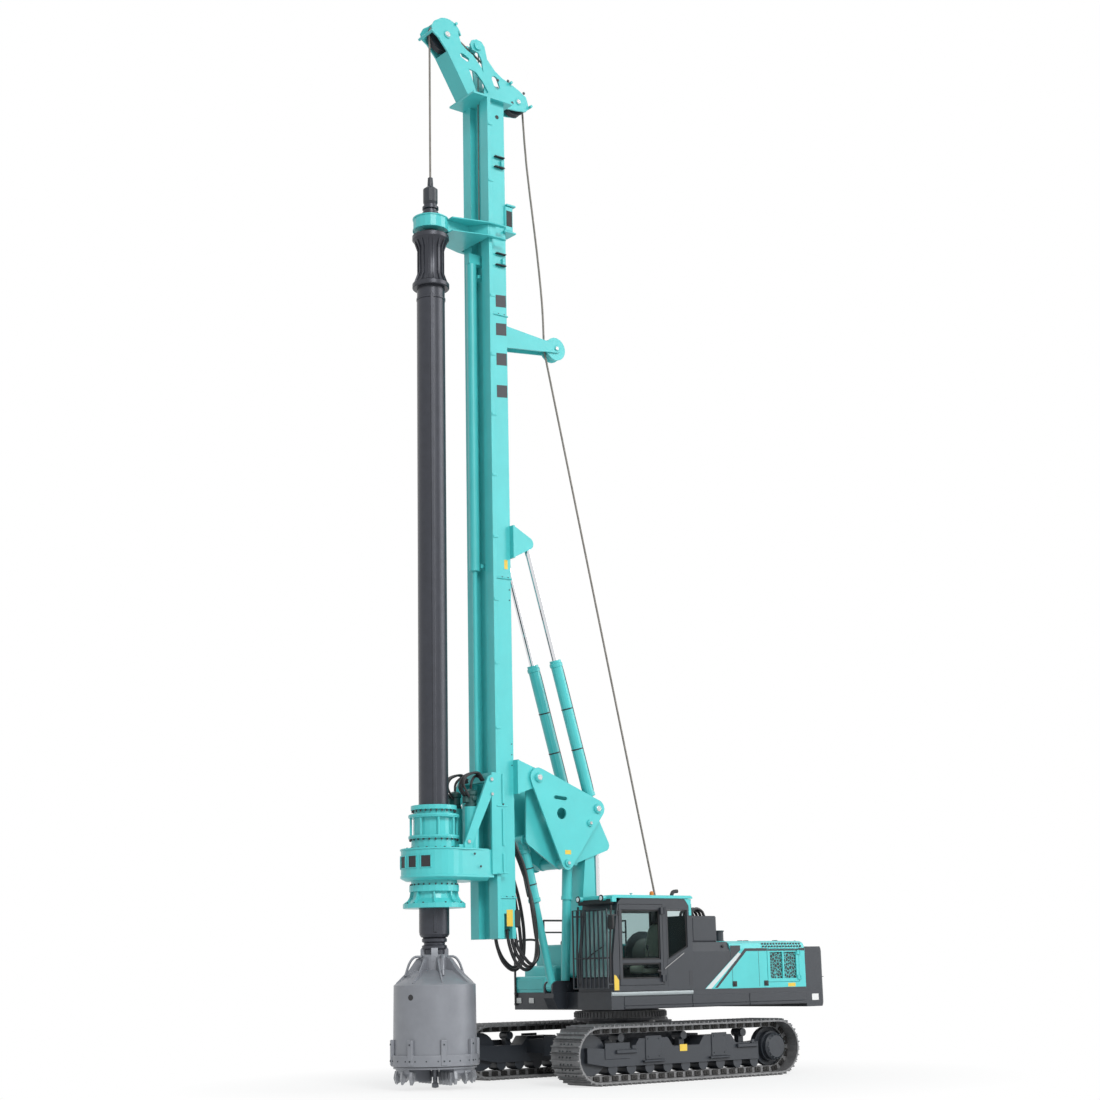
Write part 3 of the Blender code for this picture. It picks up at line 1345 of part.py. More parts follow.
def tension_roller():
    half = ROLLER_ARM_Y - CLEARANCE
    reach = ROLLER_ARM_Y + ROLLER_ARM_T
    profile = [
        (0, reach),
        (PIN_R, reach),
        (PIN_R, half),
        (TENSION_ROLLER_R, half),
        (TENSION_ROLLER_R, half * 0.7),
        (TENSION_ROLLER_R - SINK * 3, half * 0.5),
    ]
    profile += [(r, -h) for r, h in reversed(profile)]
    return turned(profile, "Y", in_plane(TENSION_ROLLER), 18)


fit(tension_roller(), "tension_roller", TEAL, "tension_roller")


# Sled on the mast's rails, with the crowd cylinder's rod and the rotary drive's gearbox

SLED_LOW = 3.73
SLED_HIGH = 5.58
SLED_T = 0.05
SLED_GAP = 0.006
SLED_LIP = 0.05
GEARBOX_LOW = 3.67
GEARBOX_HIGH = 4.17
GEARBOX_R = 0.60
GEARBOX_NECK_HALF = 0.44
GEARBOX_BACK = MAST_FRONT + 0.09
BORE_R = 0.40
STRUT_PLATE_T = 0.05
CROWD_EYE_HALF = 0.06
MOTOR_R = 0.14
MOTOR_TOP = 4.95
MOTOR_AT = (3.62, 0.26)
FOOT_INNER_Y = 0.36


def sled():
    inner = RAIL_HALF + GAP * 2
    outer = inner + SLED_T
    back = MAST_FRONT - RAIL_T - GAP * 2
    front = GEARBOX_BACK + SLED_T
    pieces = []
    for sign in (1, -1):
        a, b = sorted((sign * inner, sign * outer))
        pieces.append(box((back - SLED_LIP, a, SLED_LOW), (front, b, SLED_HIGH)))
        lip_in = BOX_HALF + CLEARANCE
        c, d = sorted((sign * lip_in, sign * (inner + SINK)))
        for z in (SLED_LOW, (SLED_LOW + SLED_HIGH) / 2, SLED_HIGH - LUG_R * 2):
            pieces.append(box((back - SLED_LIP, c, z), (back, d, z + LUG_R * 2)))
    for z in (SLED_LOW, SLED_HIGH - LUG_R):
        pieces.append(box((MAST_FRONT + GAP * 2, -inner - SINK, z), (front, inner + SINK, z + LUG_R)))
    outline = [(GEARBOX_BACK, -GEARBOX_NECK_HALF)]
    outline += arc((KELLY_X, 0), GEARBOX_R, -115, 115, 20)
    outline += [(GEARBOX_BACK, GEARBOX_NECK_HALF)]
    gearbox = plan_plate([outline, ring((KELLY_X, 0), BORE_R, 28)], GEARBOX_LOW, GEARBOX_HIGH)
    pieces.append(box((GEARBOX_BACK - SINK, -inner - SINK, GEARBOX_LOW), (front + SINK, inner + SINK, GEARBOX_HIGH)))
    foot_z = GEARBOX_HIGH + LUG_R * 0.5
    tie_foot = (KELLY_X - GEARBOX_R * 0.7, GEARBOX_HIGH + LUG_R * 0.4)
    tie = wrapped([((front - SINK, SLED_HIGH - LUG_R), LUG_R * 0.7), (tie_foot, LUG_R * 0.5)], 12)
    for sign in (1, -1):
        a, b = sorted((sign * inner, sign * (inner + STRUT_PLATE_T)))
        c, d = sorted((sign * FOOT_INNER_Y, sign * (inner + STRUT_PLATE_T / 2)))
        pieces.append(side_plate([tie], a, b))
        pieces.append(
            box((KELLY_X - GEARBOX_R * 0.9, c, GEARBOX_HIGH - SINK), (KELLY_X - GEARBOX_R * 0.4, d, foot_z))
        )
        pieces.append(
            rod((MOTOR_AT[0], sign * MOTOR_AT[1], GEARBOX_HIGH - SINK), (MOTOR_AT[0], sign * MOTOR_AT[1], MOTOR_TOP), MOTOR_R, 16)
        )
    top = CROWD_LOW + CLEVIS_HALF * 6
    pieces.append(rod((BARREL_X, 0, SLED_HIGH - SINK), (BARREL_X, 0, top), CROWD_ROD_R, 16))
    return joined(gearbox, *pieces)


fit(sled(), "sled", TEAL, "sled")

KELLY_SIDES = 24
KEY_COUNT = 3
KEY_HALF = 0.04
KEY_TALL = 0.03
SLEEVE_BORE = KELLY_R + CLEARANCE
SLEEVE_TOP = 4.96
SLEEVE_LOW = 3.13
STUD_COUNT = 8
STUD_R = 0.022
STUD_RING_R = 0.425
RIB_COUNT = 8
RIB_T = 0.03
# radius, height, from the top down the outside of the sleeve
SLEEVE_PROFILE = (
    (0.42, SLEEVE_TOP),
    (0.42, 4.88),
    (0.36, 4.88),
    (0.36, 4.80),
    (0.46, 4.80),
    (0.46, 4.74),
    (0.37, 4.74),
    (0.37, 4.42),
    (0.46, 4.42),
    (0.46, 4.36),
    (0.41, 4.36),
    (0.41, GEARBOX_HIGH + RUN_GAP),
    (BORE_R - CLEARANCE, GEARBOX_HIGH + RUN_GAP),
    (BORE_R - CLEARANCE, GEARBOX_LOW - CLEARANCE),
    (0.40, GEARBOX_LOW - CLEARANCE),
    (0.40, 3.53),
    (0.45, 3.53),
    (0.45, 3.42),
    (0.38, 3.42),
    (0.38, 3.38),
    (0.40, 3.30),
    (0.48, 3.21),
    (0.565, 3.21),
    (0.565, SLEEVE_LOW),
    (SLEEVE_BORE, SLEEVE_LOW),
    (SLEEVE_BORE, SLEEVE_TOP),
)
# radius, height: one of the curved ribs over the sleeve's foot
RIB = ((0.37, 3.43), (0.43, 3.42), (0.445, 3.33), (0.48, 3.27), (0.545, 3.22), (0.545, 3.20), (0.37, 3.20))


def round_kelly(obj, turn):
    """The object moved from the origin to the kelly's axis and turned about it."""
    obj.data.transform(Matrix.Translation((KELLY_X, 0, 0)) @ Matrix.Rotation(turn, 4, "Z"))
    return obj


def drive_sleeve():
    """The sleeve that turns the kelly: flanges joined by studs, a ribbed foot and slots for the keys."""
    whole = turned(SLEEVE_PROFILE, "Z", (KELLY_X, 0, 0), KELLY_SIDES)
    pieces = []
    for stud in range(STUD_COUNT):
        bar = rod((STUD_RING_R, 0, 4.40), (STUD_RING_R, 0, 4.76), STUD_R, 8)
        pieces.append(round_kelly(bar, math.tau * (stud + 0.5) / STUD_COUNT))
    for rib in range(RIB_COUNT):
        plate = side_plate([RIB], -RIB_T / 2, RIB_T / 2)
        pieces.append(round_kelly(plate, math.tau * (rib + 0.25) / RIB_COUNT))
    slots = []
    for key in range(KEY_COUNT):
        half = KEY_HALF + CLEARANCE
        slot = box((0, -half, SLEEVE_LOW - OVERRUN), (KELLY_R + KEY_TALL + CLEARANCE, half, SLEEVE_TOP + OVERRUN))
        slots.append(round_kelly(slot, math.tau * (key + 0.5) / KEY_COUNT))
    return milled(welded(whole, *pieces), *slots)


fit(drive_sleeve(), "drive_sleeve", TEAL, "sleeve")


# Kelly bar, its guide on the mast and its rope swivel

KELLY_FOOT_Z = 2.62
KELLY_STUB_Z = 2.30
KELLY_STUB_R = 0.19
KELLY_HEAD_Z = 14.97
KELLY_HEAD_TOP = 16.07
KELLY_HEAD_R = 0.36
KELLY_NECK_R = 0.13
KELLY_NECK_TOP = 16.72
FLANGE_T = 0.09
KELLY_PROFILE = (
    (0, KELLY_NECK_TOP),
    (KELLY_NECK_R, KELLY_NECK_TOP),
    (KELLY_NECK_R, KELLY_HEAD_TOP),
    (KELLY_HEAD_R, KELLY_HEAD_TOP),
    (KELLY_HEAD_R, KELLY_HEAD_TOP - FLANGE_T),
    (KELLY_R * 0.9, KELLY_HEAD_TOP - FLANGE_T * 3),
    (KELLY_R * 0.9, KELLY_HEAD_Z + FLANGE_T * 3),
    (KELLY_HEAD_R, KELLY_HEAD_Z + FLANGE_T),
    (KELLY_HEAD_R, KELLY_HEAD_Z),
    (KELLY_R, KELLY_HEAD_Z),
    (KELLY_R, KELLY_FOOT_Z),
    (KELLY_STUB_R, KELLY_FOOT_Z),
    (KELLY_STUB_R, KELLY_STUB_Z),
    (0, KELLY_STUB_Z),
)
KEY_TOP = 14.80
KEY_LOW = 2.70


def kelly_bar():
    """The outermost tube with its three long drive keys, its sprung head and its square stub's round core."""
    keys = []
    for key in range(KEY_COUNT):
        bar = box((KELLY_R - SINK * 2, -KEY_HALF, KEY_LOW), (KELLY_R + KEY_TALL, KEY_HALF, KEY_TOP))
        keys.append(round_kelly(bar, math.tau * (key + 0.5) / KEY_COUNT))
    return joined(turned(KELLY_PROFILE, "Z", (KELLY_X, 0, 0), KELLY_SIDES), *keys)


fit(kelly_bar(), "kelly_bar", KELLY_STEEL, "kelly")

GUIDE_LOW = 16.18
GUIDE_HIGH = 16.42
GUIDE_RING_R = 0.34
GUIDE_NECK_HALF = 0.16


def kelly_guide():
    inner = RAIL_HALF + GAP * 2
    back = MAST_FRONT - RAIL_T - GAP * 2
    face = MAST_FRONT + GAP * 2
    wide = inner + SLED_T - SINK / 2
    outline = [(face, -wide), (face + SLED_T, -wide)]
    outline += [(face + SLED_T * 6, -GUIDE_NECK_HALF)]
    outline += arc((KELLY_X, 0), GUIDE_RING_R, -150, 150, 16)
    outline += [(face + SLED_T * 6, GUIDE_NECK_HALF)]
    outline += [(face + SLED_T, wide), (face, wide)]
    arm_plate = plan_plate([outline, hole((KELLY_X, 0), KELLY_NECK_R + RUN_GAP, KELLY_SIDES)], GUIDE_LOW, GUIDE_HIGH)
    pieces = []
    for sign in (1, -1):
        a, b = sorted((sign * inner, sign * (inner + SLED_T)))
        pieces.append(box((back - SLED_LIP, a, GUIDE_LOW - SINK), (face + SINK, b, GUIDE_HIGH + SINK)))
        c, d = sorted((sign * (BOX_HALF + CLEARANCE), sign * (inner + SINK)))
        pieces.append(box((back - SLED_LIP + SINK, c, GUIDE_LOW), (back, d, GUIDE_HIGH)))
    return joined(arm_plate, *pieces)


fit(kelly_guide(), "kelly_guide", TEAL, "hoist")

SWIVEL_PROFILE = (
    (0, 17.30),
    (0.05, 17.30),
    (0.06, 17.12),
    (0.145, 17.05),
    (0.145, KELLY_NECK_TOP + 0.06),
    (0.12, KELLY_NECK_TOP + GAP),
    (0, KELLY_NECK_TOP + GAP),
)
fit(turned(SWIVEL_PROFILE, "Z", (KELLY_X, 0, 0), 16), "rope_swivel", CHARCOAL, "hoist")


# Drilling bucket: a hollow shell under a cone and a drive box, closed by a hinged cutter plate

BUCKET_TOP = 1.80
RING_TOP = 0.60
SHELL_T = 0.03
CONE_TOP = 2.02
CONE_R = 0.42
DRIVE_BOX_HALF = 0.25
DRIVE_BOX_TOP = 2.36
DRIVE_LUG_TOP = 2.50
DRIVE_LUG_HALF = 0.13
DRIVE_LUG_T = 0.06
DRIVE_HOLE_R = 0.045
CONE_RIB_COUNT = 8
CONE_RIB_T = 0.03
VENT_R = 0.05
VENT_Z = 1.60
STRIP_COUNT = 6
STRIP_HALF = 0.05
FLAP_T = 0.07
LUG_OFF = 0.08
CUTTER_COUNT = 6
CUTTER_LOW = 0.12
CUTTER_SIZE = 0.07
PILOT_LOW = 0.015
PILOT_R = 0.09


def bucket():
    wide = BUCKET_R + WEAR_STRIP
    profile = [
        (0, CONE_TOP),
        (CONE_R, CONE_TOP),
        (BUCKET_R, BUCKET_TOP),
        (BUCKET_R, RING_TOP),
        (wide, RING_TOP),
        (wide, BUCKET_LOW),
        (BUCKET_R - SHELL_T, BUCKET_LOW),
        (BUCKET_R - SHELL_T, BUCKET_TOP - SHELL_T),
        (CONE_R, CONE_TOP - SHELL_T),
        (0, CONE_TOP - SHELL_T),
    ]
    shell = turned(profile, "Z", (KELLY_X, 0, 0), 32)
    half = DRIVE_BOX_HALF
    drive = box((KELLY_X - half, -half, CONE_TOP - SINK), (KELLY_X + half, half, DRIVE_BOX_TOP))
    socket_r = (KELLY_STUB_R + RUN_GAP) / math.cos(math.pi / KELLY_SIDES)
    socket = rod((KELLY_X, 0, KELLY_STUB_Z - RUN_GAP), (KELLY_X, 0, DRIVE_LUG_TOP + OVERRUN), socket_r, KELLY_SIDES)
    lug_outline = wrapped(
        [
            ((DRIVE_BOX_TOP - SINK * 2, DRIVE_LUG_HALF), 0),
            ((DRIVE_BOX_TOP - SINK * 2, -DRIVE_LUG_HALF), 0),
            ((DRIVE_LUG_TOP - DRIVE_HOLE_R * 2, 0), DRIVE_HOLE_R * 2),
        ]
    )
    head_pieces = []
    for side in (-1, 1):
        outer = KELLY_X + side * (half - SINK / 2)
        a, b = sorted((outer, outer - side * DRIVE_LUG_T))
        lug_plan = [(y, z) for z, y in lug_outline]
        eye = [(y, z) for z, y in ring((DRIVE_LUG_TOP - DRIVE_HOLE_R * 2, 0), DRIVE_HOLE_R, 12)]
        head_pieces.append(lengthwise([lug_plan, eye], a, b))
    rib = [(half - SINK * 2, CONE_TOP - SINK * 2), (BUCKET_R - SINK * 3, BUCKET_TOP - SINK / 2)]
    rib += [(BUCKET_R - SINK * 3, BUCKET_TOP + SINK * 3), (half + SINK * 3, CONE_TOP + half / 2)]
    rib.append((half - SINK * 2, CONE_TOP + half / 2))
    for index in range(CONE_RIB_COUNT):
        plate = side_plate([rib], -CONE_RIB_T / 2, CONE_RIB_T / 2)
        head_pieces.append(round_kelly(plate, math.tau * (index + 0.5) / CONE_RIB_COUNT))
    vent = rod((KELLY_X, 0, VENT_Z), (KELLY_X + BUCKET_R + OVERRUN, 0, VENT_Z), VENT_R, 12)
    drive = welded(drive, *head_pieces)
    strips = []
    for index in range(STRIP_COUNT):
        strip = box(
            (BUCKET_R - SINK, -STRIP_HALF, RING_TOP - SINK), (BUCKET_R + WEAR_STRIP * 0.8, STRIP_HALF, BUCKET_TOP - STRIP_HALF)
        )
        strip.data.transform(
            Matrix.Translation((KELLY_X, 0, 0)) @ Matrix.Rotation(math.tau * (index + 0.5) / STRIP_COUNT, 4, "Z")
        )
        strips.append(strip)
    root_point = (KNUCKLE_R - wide, BUCKET_LOW + KNUCKLE_R * 2)
    lug = wrapped([(FLAP_HINGE, KNUCKLE_R), (root_point, KNUCKLE_R)], 12)
    lugs = []
    for low in (LUG_OFF, -LUG_OFF - SHELL_T):
        x = KELLY_X + low
        lugs.append(lengthwise([lug, hole(FLAP_HINGE, HINGE_R + RUN_GAP)], x, x + SHELL_T))
    return welded(cut(welded(shell, drive), socket, vent), *strips, *lugs)


fit(bucket(), "bucket", STEEL, "kelly")


def flap():
    top = BUCKET_LOW - GAP
    low = top - FLAP_T
    profile = [(0, top), (BUCKET_R, top), (BUCKET_R, low), (0, low)]
    plate = turned(profile, "Z", (KELLY_X, 0, 0), 32)
    pieces = [rod((KELLY_X, 0, low + SINK), (KELLY_X, 0, PILOT_LOW), PILOT_R, 12, PILOT_R / 5)]
    half = LUG_OFF - CLEARANCE
    tail = (SHELL_T - BUCKET_R, top - FLAP_T / 2)
    pieces.append(lengthwise([wrapped([(FLAP_HINGE, KNUCKLE_R), (tail, KNUCKLE_R * 0.9)], 12)], KELLY_X - half, KELLY_X + half))
    reach = LUG_OFF + SHELL_T + SINK
    pieces.append(rod((KELLY_X - reach, *FLAP_HINGE), (KELLY_X + reach, *FLAP_HINGE), HINGE_R, 12))
    for index in range(CUTTER_COUNT):
        share = (index + 0.7) / (CUTTER_COUNT + 0.2)
        x = (share - 0.5) * 2 * (BUCKET_R - CUTTER_SIZE)
        if abs(x) < PILOT_R + CUTTER_SIZE:
            continue
        sign = 1 if x > 0 else -1
        tooth = side_plate(
            [[(-CUTTER_SIZE, 0), (CUTTER_SIZE, 0), (CUTTER_SIZE / 2, CUTTER_LOW - low)]],
            -CUTTER_SIZE / 2,
            CUTTER_SIZE / 2,
        )
        tooth.data.transform(Matrix.Translation((KELLY_X + x, sign * CUTTER_SIZE, low + SINK)))
        pieces.append(tooth)
    return joined(plate, *pieces)


fit(flap(), "bucket_flap", STEEL, "flap")
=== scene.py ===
import json
import math

import bpy
import numpy as np
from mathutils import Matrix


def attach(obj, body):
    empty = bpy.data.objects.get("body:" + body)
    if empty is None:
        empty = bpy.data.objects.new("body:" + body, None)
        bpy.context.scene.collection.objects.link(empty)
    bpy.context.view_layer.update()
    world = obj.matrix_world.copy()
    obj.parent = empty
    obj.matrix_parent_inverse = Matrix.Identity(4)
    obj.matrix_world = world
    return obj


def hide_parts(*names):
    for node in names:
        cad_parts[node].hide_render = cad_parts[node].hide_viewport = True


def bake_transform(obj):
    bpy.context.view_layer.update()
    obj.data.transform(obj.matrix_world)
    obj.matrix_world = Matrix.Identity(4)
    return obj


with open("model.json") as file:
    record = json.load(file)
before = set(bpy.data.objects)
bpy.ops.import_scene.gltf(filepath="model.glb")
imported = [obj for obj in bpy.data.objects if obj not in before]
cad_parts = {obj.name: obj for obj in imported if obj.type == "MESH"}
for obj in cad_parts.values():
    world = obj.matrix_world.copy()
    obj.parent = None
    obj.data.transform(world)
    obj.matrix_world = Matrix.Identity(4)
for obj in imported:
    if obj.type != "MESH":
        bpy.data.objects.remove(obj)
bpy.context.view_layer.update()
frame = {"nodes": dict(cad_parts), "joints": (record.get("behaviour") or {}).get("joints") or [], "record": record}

# The studio: a pale floor, white surroundings and soft light from the front left of the rig.
# The camera stands low off the rig's left front corner, as the photographer's did.
scene = bpy.context.scene
scene.view_settings.view_transform = "Standard"
joints = {joint["name"]: joint for joint in frame["joints"]}
SLEW_X = joints["slew"]["pos_m"][0]

CAMERA_AT = np.array((23.07 + SLEW_X, 27.99, 1.896))
YAW, PITCH, ROLL = np.radians((-127.656, 13.077, -1.170))
ahead = np.array((np.cos(PITCH) * np.cos(YAW), np.cos(PITCH) * np.sin(YAW), np.sin(PITCH)))
across = np.cross(ahead, (0, 0, 1))
across /= np.linalg.norm(across)
upward = np.cross(across, ahead)
right_way = np.cos(ROLL) * across + np.sin(ROLL) * upward
up_way = -np.sin(ROLL) * across + np.cos(ROLL) * upward
lens = bpy.data.cameras.new("camera")
lens.sensor_width = 36.0
FOCAL_PIXELS, PHOTO_PIXELS = 1834.7, 1100
lens.lens = lens.sensor_width * FOCAL_PIXELS / PHOTO_PIXELS
lens.clip_end = 200


def put(name, data, right, up, back, place):
    """A camera or lamp in the scene: its own X, Y and Z axes and its place, as the matrix's columns."""
    thing = bpy.data.objects.new(name, data)
    scene.collection.objects.link(thing)
    matrix = np.eye(4)
    matrix[:3] = np.stack((right, up, back, place), 1)
    thing.matrix_world = matrix.T.tolist()
    return thing


scene.camera = put("camera", lens, right_way, up_way, -ahead, CAMERA_AT)


def new_material(name):
    """A new material, its node tree and its Principled shader."""
    material = bpy.data.materials.new(name)
    material.use_nodes = True
    return material, material.node_tree, material.node_tree.nodes["Principled BSDF"]


def add_node(tree, kind, inputs=None, **settings):
    """A new shader node: its settings are set, then each input gets a value or a link from a socket."""
    node = tree.nodes.new("ShaderNode" + kind)
    for key, value in settings.items():
        setattr(node, key, value)
    for key, value in (inputs or {}).items():
        if isinstance(value, bpy.types.NodeSocket):
            tree.links.new(value, node.inputs[key])
        else:
            node.inputs[key].default_value = value
    return node


def shown_ray(tree):
    """1 for rays from the camera, a mirror or a pane: the larger of the three Light Path outputs."""
    path = add_node(tree, "LightPath")
    largest = path.outputs["Is Camera Ray"]
    for other in ("Is Glossy Ray", "Is Transmission Ray"):
        largest = add_node(tree, "Math", {0: largest, 1: path.outputs[other]}, operation="MAXIMUM").outputs[0]
    return largest


world = bpy.data.worlds.new("studio")
scene.world = world
world.use_nodes = True
tree = world.node_tree
soft = tree.nodes["Background"]
soft.inputs["Color"].default_value = (0.95, 0.98, 1.0, 1)
soft.inputs["Strength"].default_value = 0.44
white = add_node(tree, "Background", {"Color": (1, 1, 1, 1), "Strength": 1.0})
either = add_node(tree, "MixShader", {0: shown_ray(tree), 1: soft.outputs[0], 2: white.outputs[0]})
tree.links.new(either.outputs[0], tree.nodes["World Output"].inputs["Surface"])

for name, strength, spread, way in (
    ("key", 1.75, 22, (-0.25, -0.95, -0.65)),
    ("side", 1.05, 35, (0.75, -0.60, -0.35)),
):
    lamp = bpy.data.lights.new(name, "SUN")
    lamp.energy = strength
    lamp.angle = math.radians(spread)
    back = -np.array(way) / np.linalg.norm(way)
    side = np.cross((0, 0, 1), back)
    side /= np.linalg.norm(side)
    put(name, lamp, side, np.cross(back, side), back, (0, 0, 30))

# floor: lit near the rig so that it holds the shadow, and plain white further out
mesh = bpy.data.meshes.new("floor")
mesh.from_pydata([(-90, -90, -0.002), (90, -90, -0.002), (90, 90, -0.002), (-90, 90, -0.002)], [], [(0, 1, 2, 3)])
floor = bpy.data.objects.new("floor", mesh)
scene.collection.objects.link(floor)
ground, tree, matt = new_material("floor")
matt.inputs["Base Color"].default_value = (0.86, 0.86, 0.86, 1)
matt.inputs["Roughness"].default_value = 0.9
place = add_node(tree, "TexCoord")
reach = add_node(tree, "VectorMath", {0: place.outputs["Object"]}, operation="LENGTH")
rings = {"From Min": 3.5, "From Max": 8.0, "To Min": 0.72, "To Max": 1.0}
fade = add_node(tree, "MapRange", {"Value": reach.outputs["Value"], **rings})
share = add_node(tree, "Math", {0: shown_ray(tree), 1: fade.outputs["Result"]}, operation="MULTIPLY")
glow = add_node(tree, "Emission")
both = add_node(tree, "MixShader", {0: share.outputs[0], 1: matt.outputs[0], 2: glow.outputs[0]})
tree.links.new(both.outputs[0], tree.nodes["Material Output"].inputs["Surface"])
floor.data.materials.append(ground)


# Paint and metal of the large parts: a hard two-pack coat over steel, sprayed after assembly.
# Each finish varies a little in tone and in gloss, has a fine grain, and rounds sharp edges.
def coat(name, colour, roughness, metallic=0.0, mottle=0.10, scale=1.6, grain=0.12, edge=0.006, dust=0.0):
    """Tone = colour x (1 +- mottle x slow noise); roughness +- 20 % of itself by a second noise;
    the normal comes from rounded edges and a fine grain; dust whitens what lies near the ground."""
    material, tree, shader = new_material(name)
    shader.inputs["Metallic"].default_value = metallic
    where = add_node(tree, "TexCoord").outputs["Object"]
    slow = add_node(tree, "TexNoise", {"Vector": where, "Scale": scale, "Detail": 5, "Roughness": 0.6})
    spread = {"From Min": 0.3, "From Max": 0.7, "To Min": 1 - mottle, "To Max": 1 + mottle}
    tone = add_node(tree, "MapRange", {"Value": slow.outputs["Fac"], **spread})
    tint = add_node(tree, "VectorMath", {0: colour, "Scale": tone.outputs["Result"]}, operation="SCALE")
    last = tint.outputs["Vector"]
    if dust:
        height = add_node(tree, "SeparateXYZ", {0: where})
        fall = {"From Min": 0.0, "From Max": 1.3, "To Min": dust, "To Max": 0.0}
        low = add_node(tree, "MapRange", {"Value": height.outputs["Z"], **fall})
        patch = add_node(tree, "Math", {0: low.outputs["Result"], 1: slow.outputs["Fac"]}, operation="MULTIPLY")
        blend = {"Factor": patch.outputs[0], "A": last, "B": (0.30, 0.29, 0.28, 1)}
        last = add_node(tree, "Mix", blend, data_type="RGBA").outputs["Result"]
    tree.links.new(last, shader.inputs["Base Color"])
    worn = add_node(tree, "TexNoise", {"Vector": where, "Scale": scale * 7, "Detail": 3})
    spread = {"To Min": roughness * 0.8, "To Max": roughness * 1.2}
    gloss = add_node(tree, "MapRange", {"Value": worn.outputs["Fac"], **spread})
    tree.links.new(gloss.outputs["Result"], shader.inputs["Roughness"])
    fine = add_node(tree, "TexNoise", {"Vector": where, "Scale": 220, "Detail": 2})
    relief = add_node(tree, "Bump", {"Strength": grain, "Distance": 0.002, "Height": fine.outputs["Fac"]})
    if edge:
        rounded = add_node(tree, "Bevel", {"Radius": edge}, samples=4)
        tree.links.new(rounded.outputs["Normal"], relief.inputs["Normal"])
    tree.links.new(relief.outputs["Normal"], shader.inputs["Normal"])
    return material


teal = coat("teal_paint", (0.078, 0.555, 0.560), 0.32, mottle=0.05)
charcoal = coat("charcoal_paint", (0.024, 0.029, 0.037), 0.42)
track_steel = coat("track_steel", (0.17, 0.172, 0.178), 0.50, 0.35, mottle=0.22, scale=9, grain=0.5, dust=0.35)
bucket_grey = coat("bucket_paint", (0.235, 0.245, 0.270), 0.36, 0.15, mottle=0.07, scale=3, grain=0.15)
kelly_black = coat("kelly_steel", (0.040, 0.043, 0.054), 0.34, 0.35, scale=5)
chrome = coat("chrome_rod", (0.72, 0.73, 0.75), 0.10, 1.0, mottle=0.03, grain=0.02, edge=0)
vinyl = coat("seat_vinyl", (0.74, 0.68, 0.56), 0.62, mottle=0.08, scale=14, grain=0.5, edge=0)
finishes = {
    "teal_paint": teal,
    "charcoal_paint": charcoal,
    "bare_steel": track_steel,
    "kelly_steel": kelly_black,
    "chrome_rod": chrome,
    "seat_vinyl": vinyl,
}
slot_of = {part["node"]: part["material_slot"] for part in frame["record"]["subparts"]}
for node, cad in frame["nodes"].items():
    cad.data.materials.clear()
    cad.data.materials.append(finishes[slot_of[node]])
for node in ("bucket", "bucket_flap"):
    frame["nodes"][node].data.materials[0] = bucket_grey


# Mesh makers for the smaller pieces: each gives vertices and faces in the row frame, and build()
# joins several of them into one piece that rides on a body of the rig.
def at(x, y, z):
    """A place given from the slew axis, in the row frame."""
    return np.array((x + SLEW_X, y, z), float)


def slab(low, high, bevel=0.008):
    """A box with every edge cut back: each corner gives three points, one on each face, and each is
    held back by the bevel along its face's two directions. Faces, edge strips and corners close it."""
    low, high = np.minimum(low, high), np.maximum(low, high)
    middle, half = (low + high) / 2, (high - low) / 2
    bevel = min(bevel, half.min() * 0.9)
    signs = np.array([(i & 1, i >> 1 & 1, i >> 2) for i in range(8)]) * 2 - 1
    keep = np.eye(3)[None] * bevel + (half - bevel)
    points = (middle + signs[:, None, :] * keep).reshape(-1, 3)
    faces = [tuple(3 * c + k for k in range(3)) for c in range(8)]
    for k in range(3):
        i, j = (k + 1) % 3, (k + 2) % 3
        for way in (-1, 1):
            ring = [c for c in range(8) if signs[c, k] == way]
            a = next(c for c in ring if signs[c, i] < 0 and signs[c, j] < 0)
            b = next(c for c in ring if signs[c, i] > 0 and signs[c, j] < 0)
            c2 = next(c for c in ring if signs[c, i] > 0 and signs[c, j] > 0)
            d = next(c for c in ring if signs[c, i] < 0 and signs[c, j] > 0)
            faces.append(tuple(3 * c + k for c in (a, b, c2, d)))
        for si in (-1, 1):
            for sj in (-1, 1):
                pair = [c for c in range(8) if signs[c, i] == si and signs[c, j] == sj]
                faces.append((3 * pair[0] + i, 3 * pair[1] + i, 3 * pair[1] + j, 3 * pair[0] + j))
    fixed = []
    for face in faces:
        corner = points[list(face)]
        normal = np.cross(corner[1] - corner[0], corner[2] - corner[0])
        fixed.append(face if normal @ (corner.mean(0) - middle) > 0 else face[::-1])
    return points, fixed


def bands(count, rows):
    """Quads between rings of count points each, laid one after another."""
    index = np.arange(count)
    after = (index + 1) % count
    faces = []
    for a in range(0, count * (rows - 1), count):
        faces += np.stack((a + index, a + after, a + count + after, a + count + index), 1).tolist()
    return faces


def caps_of(count, rows):
    """Two flat caps: the first ring turned round, and the last ring."""
    return [list(range(count))[::-1], list(range(count * (rows - 1), count * rows))]


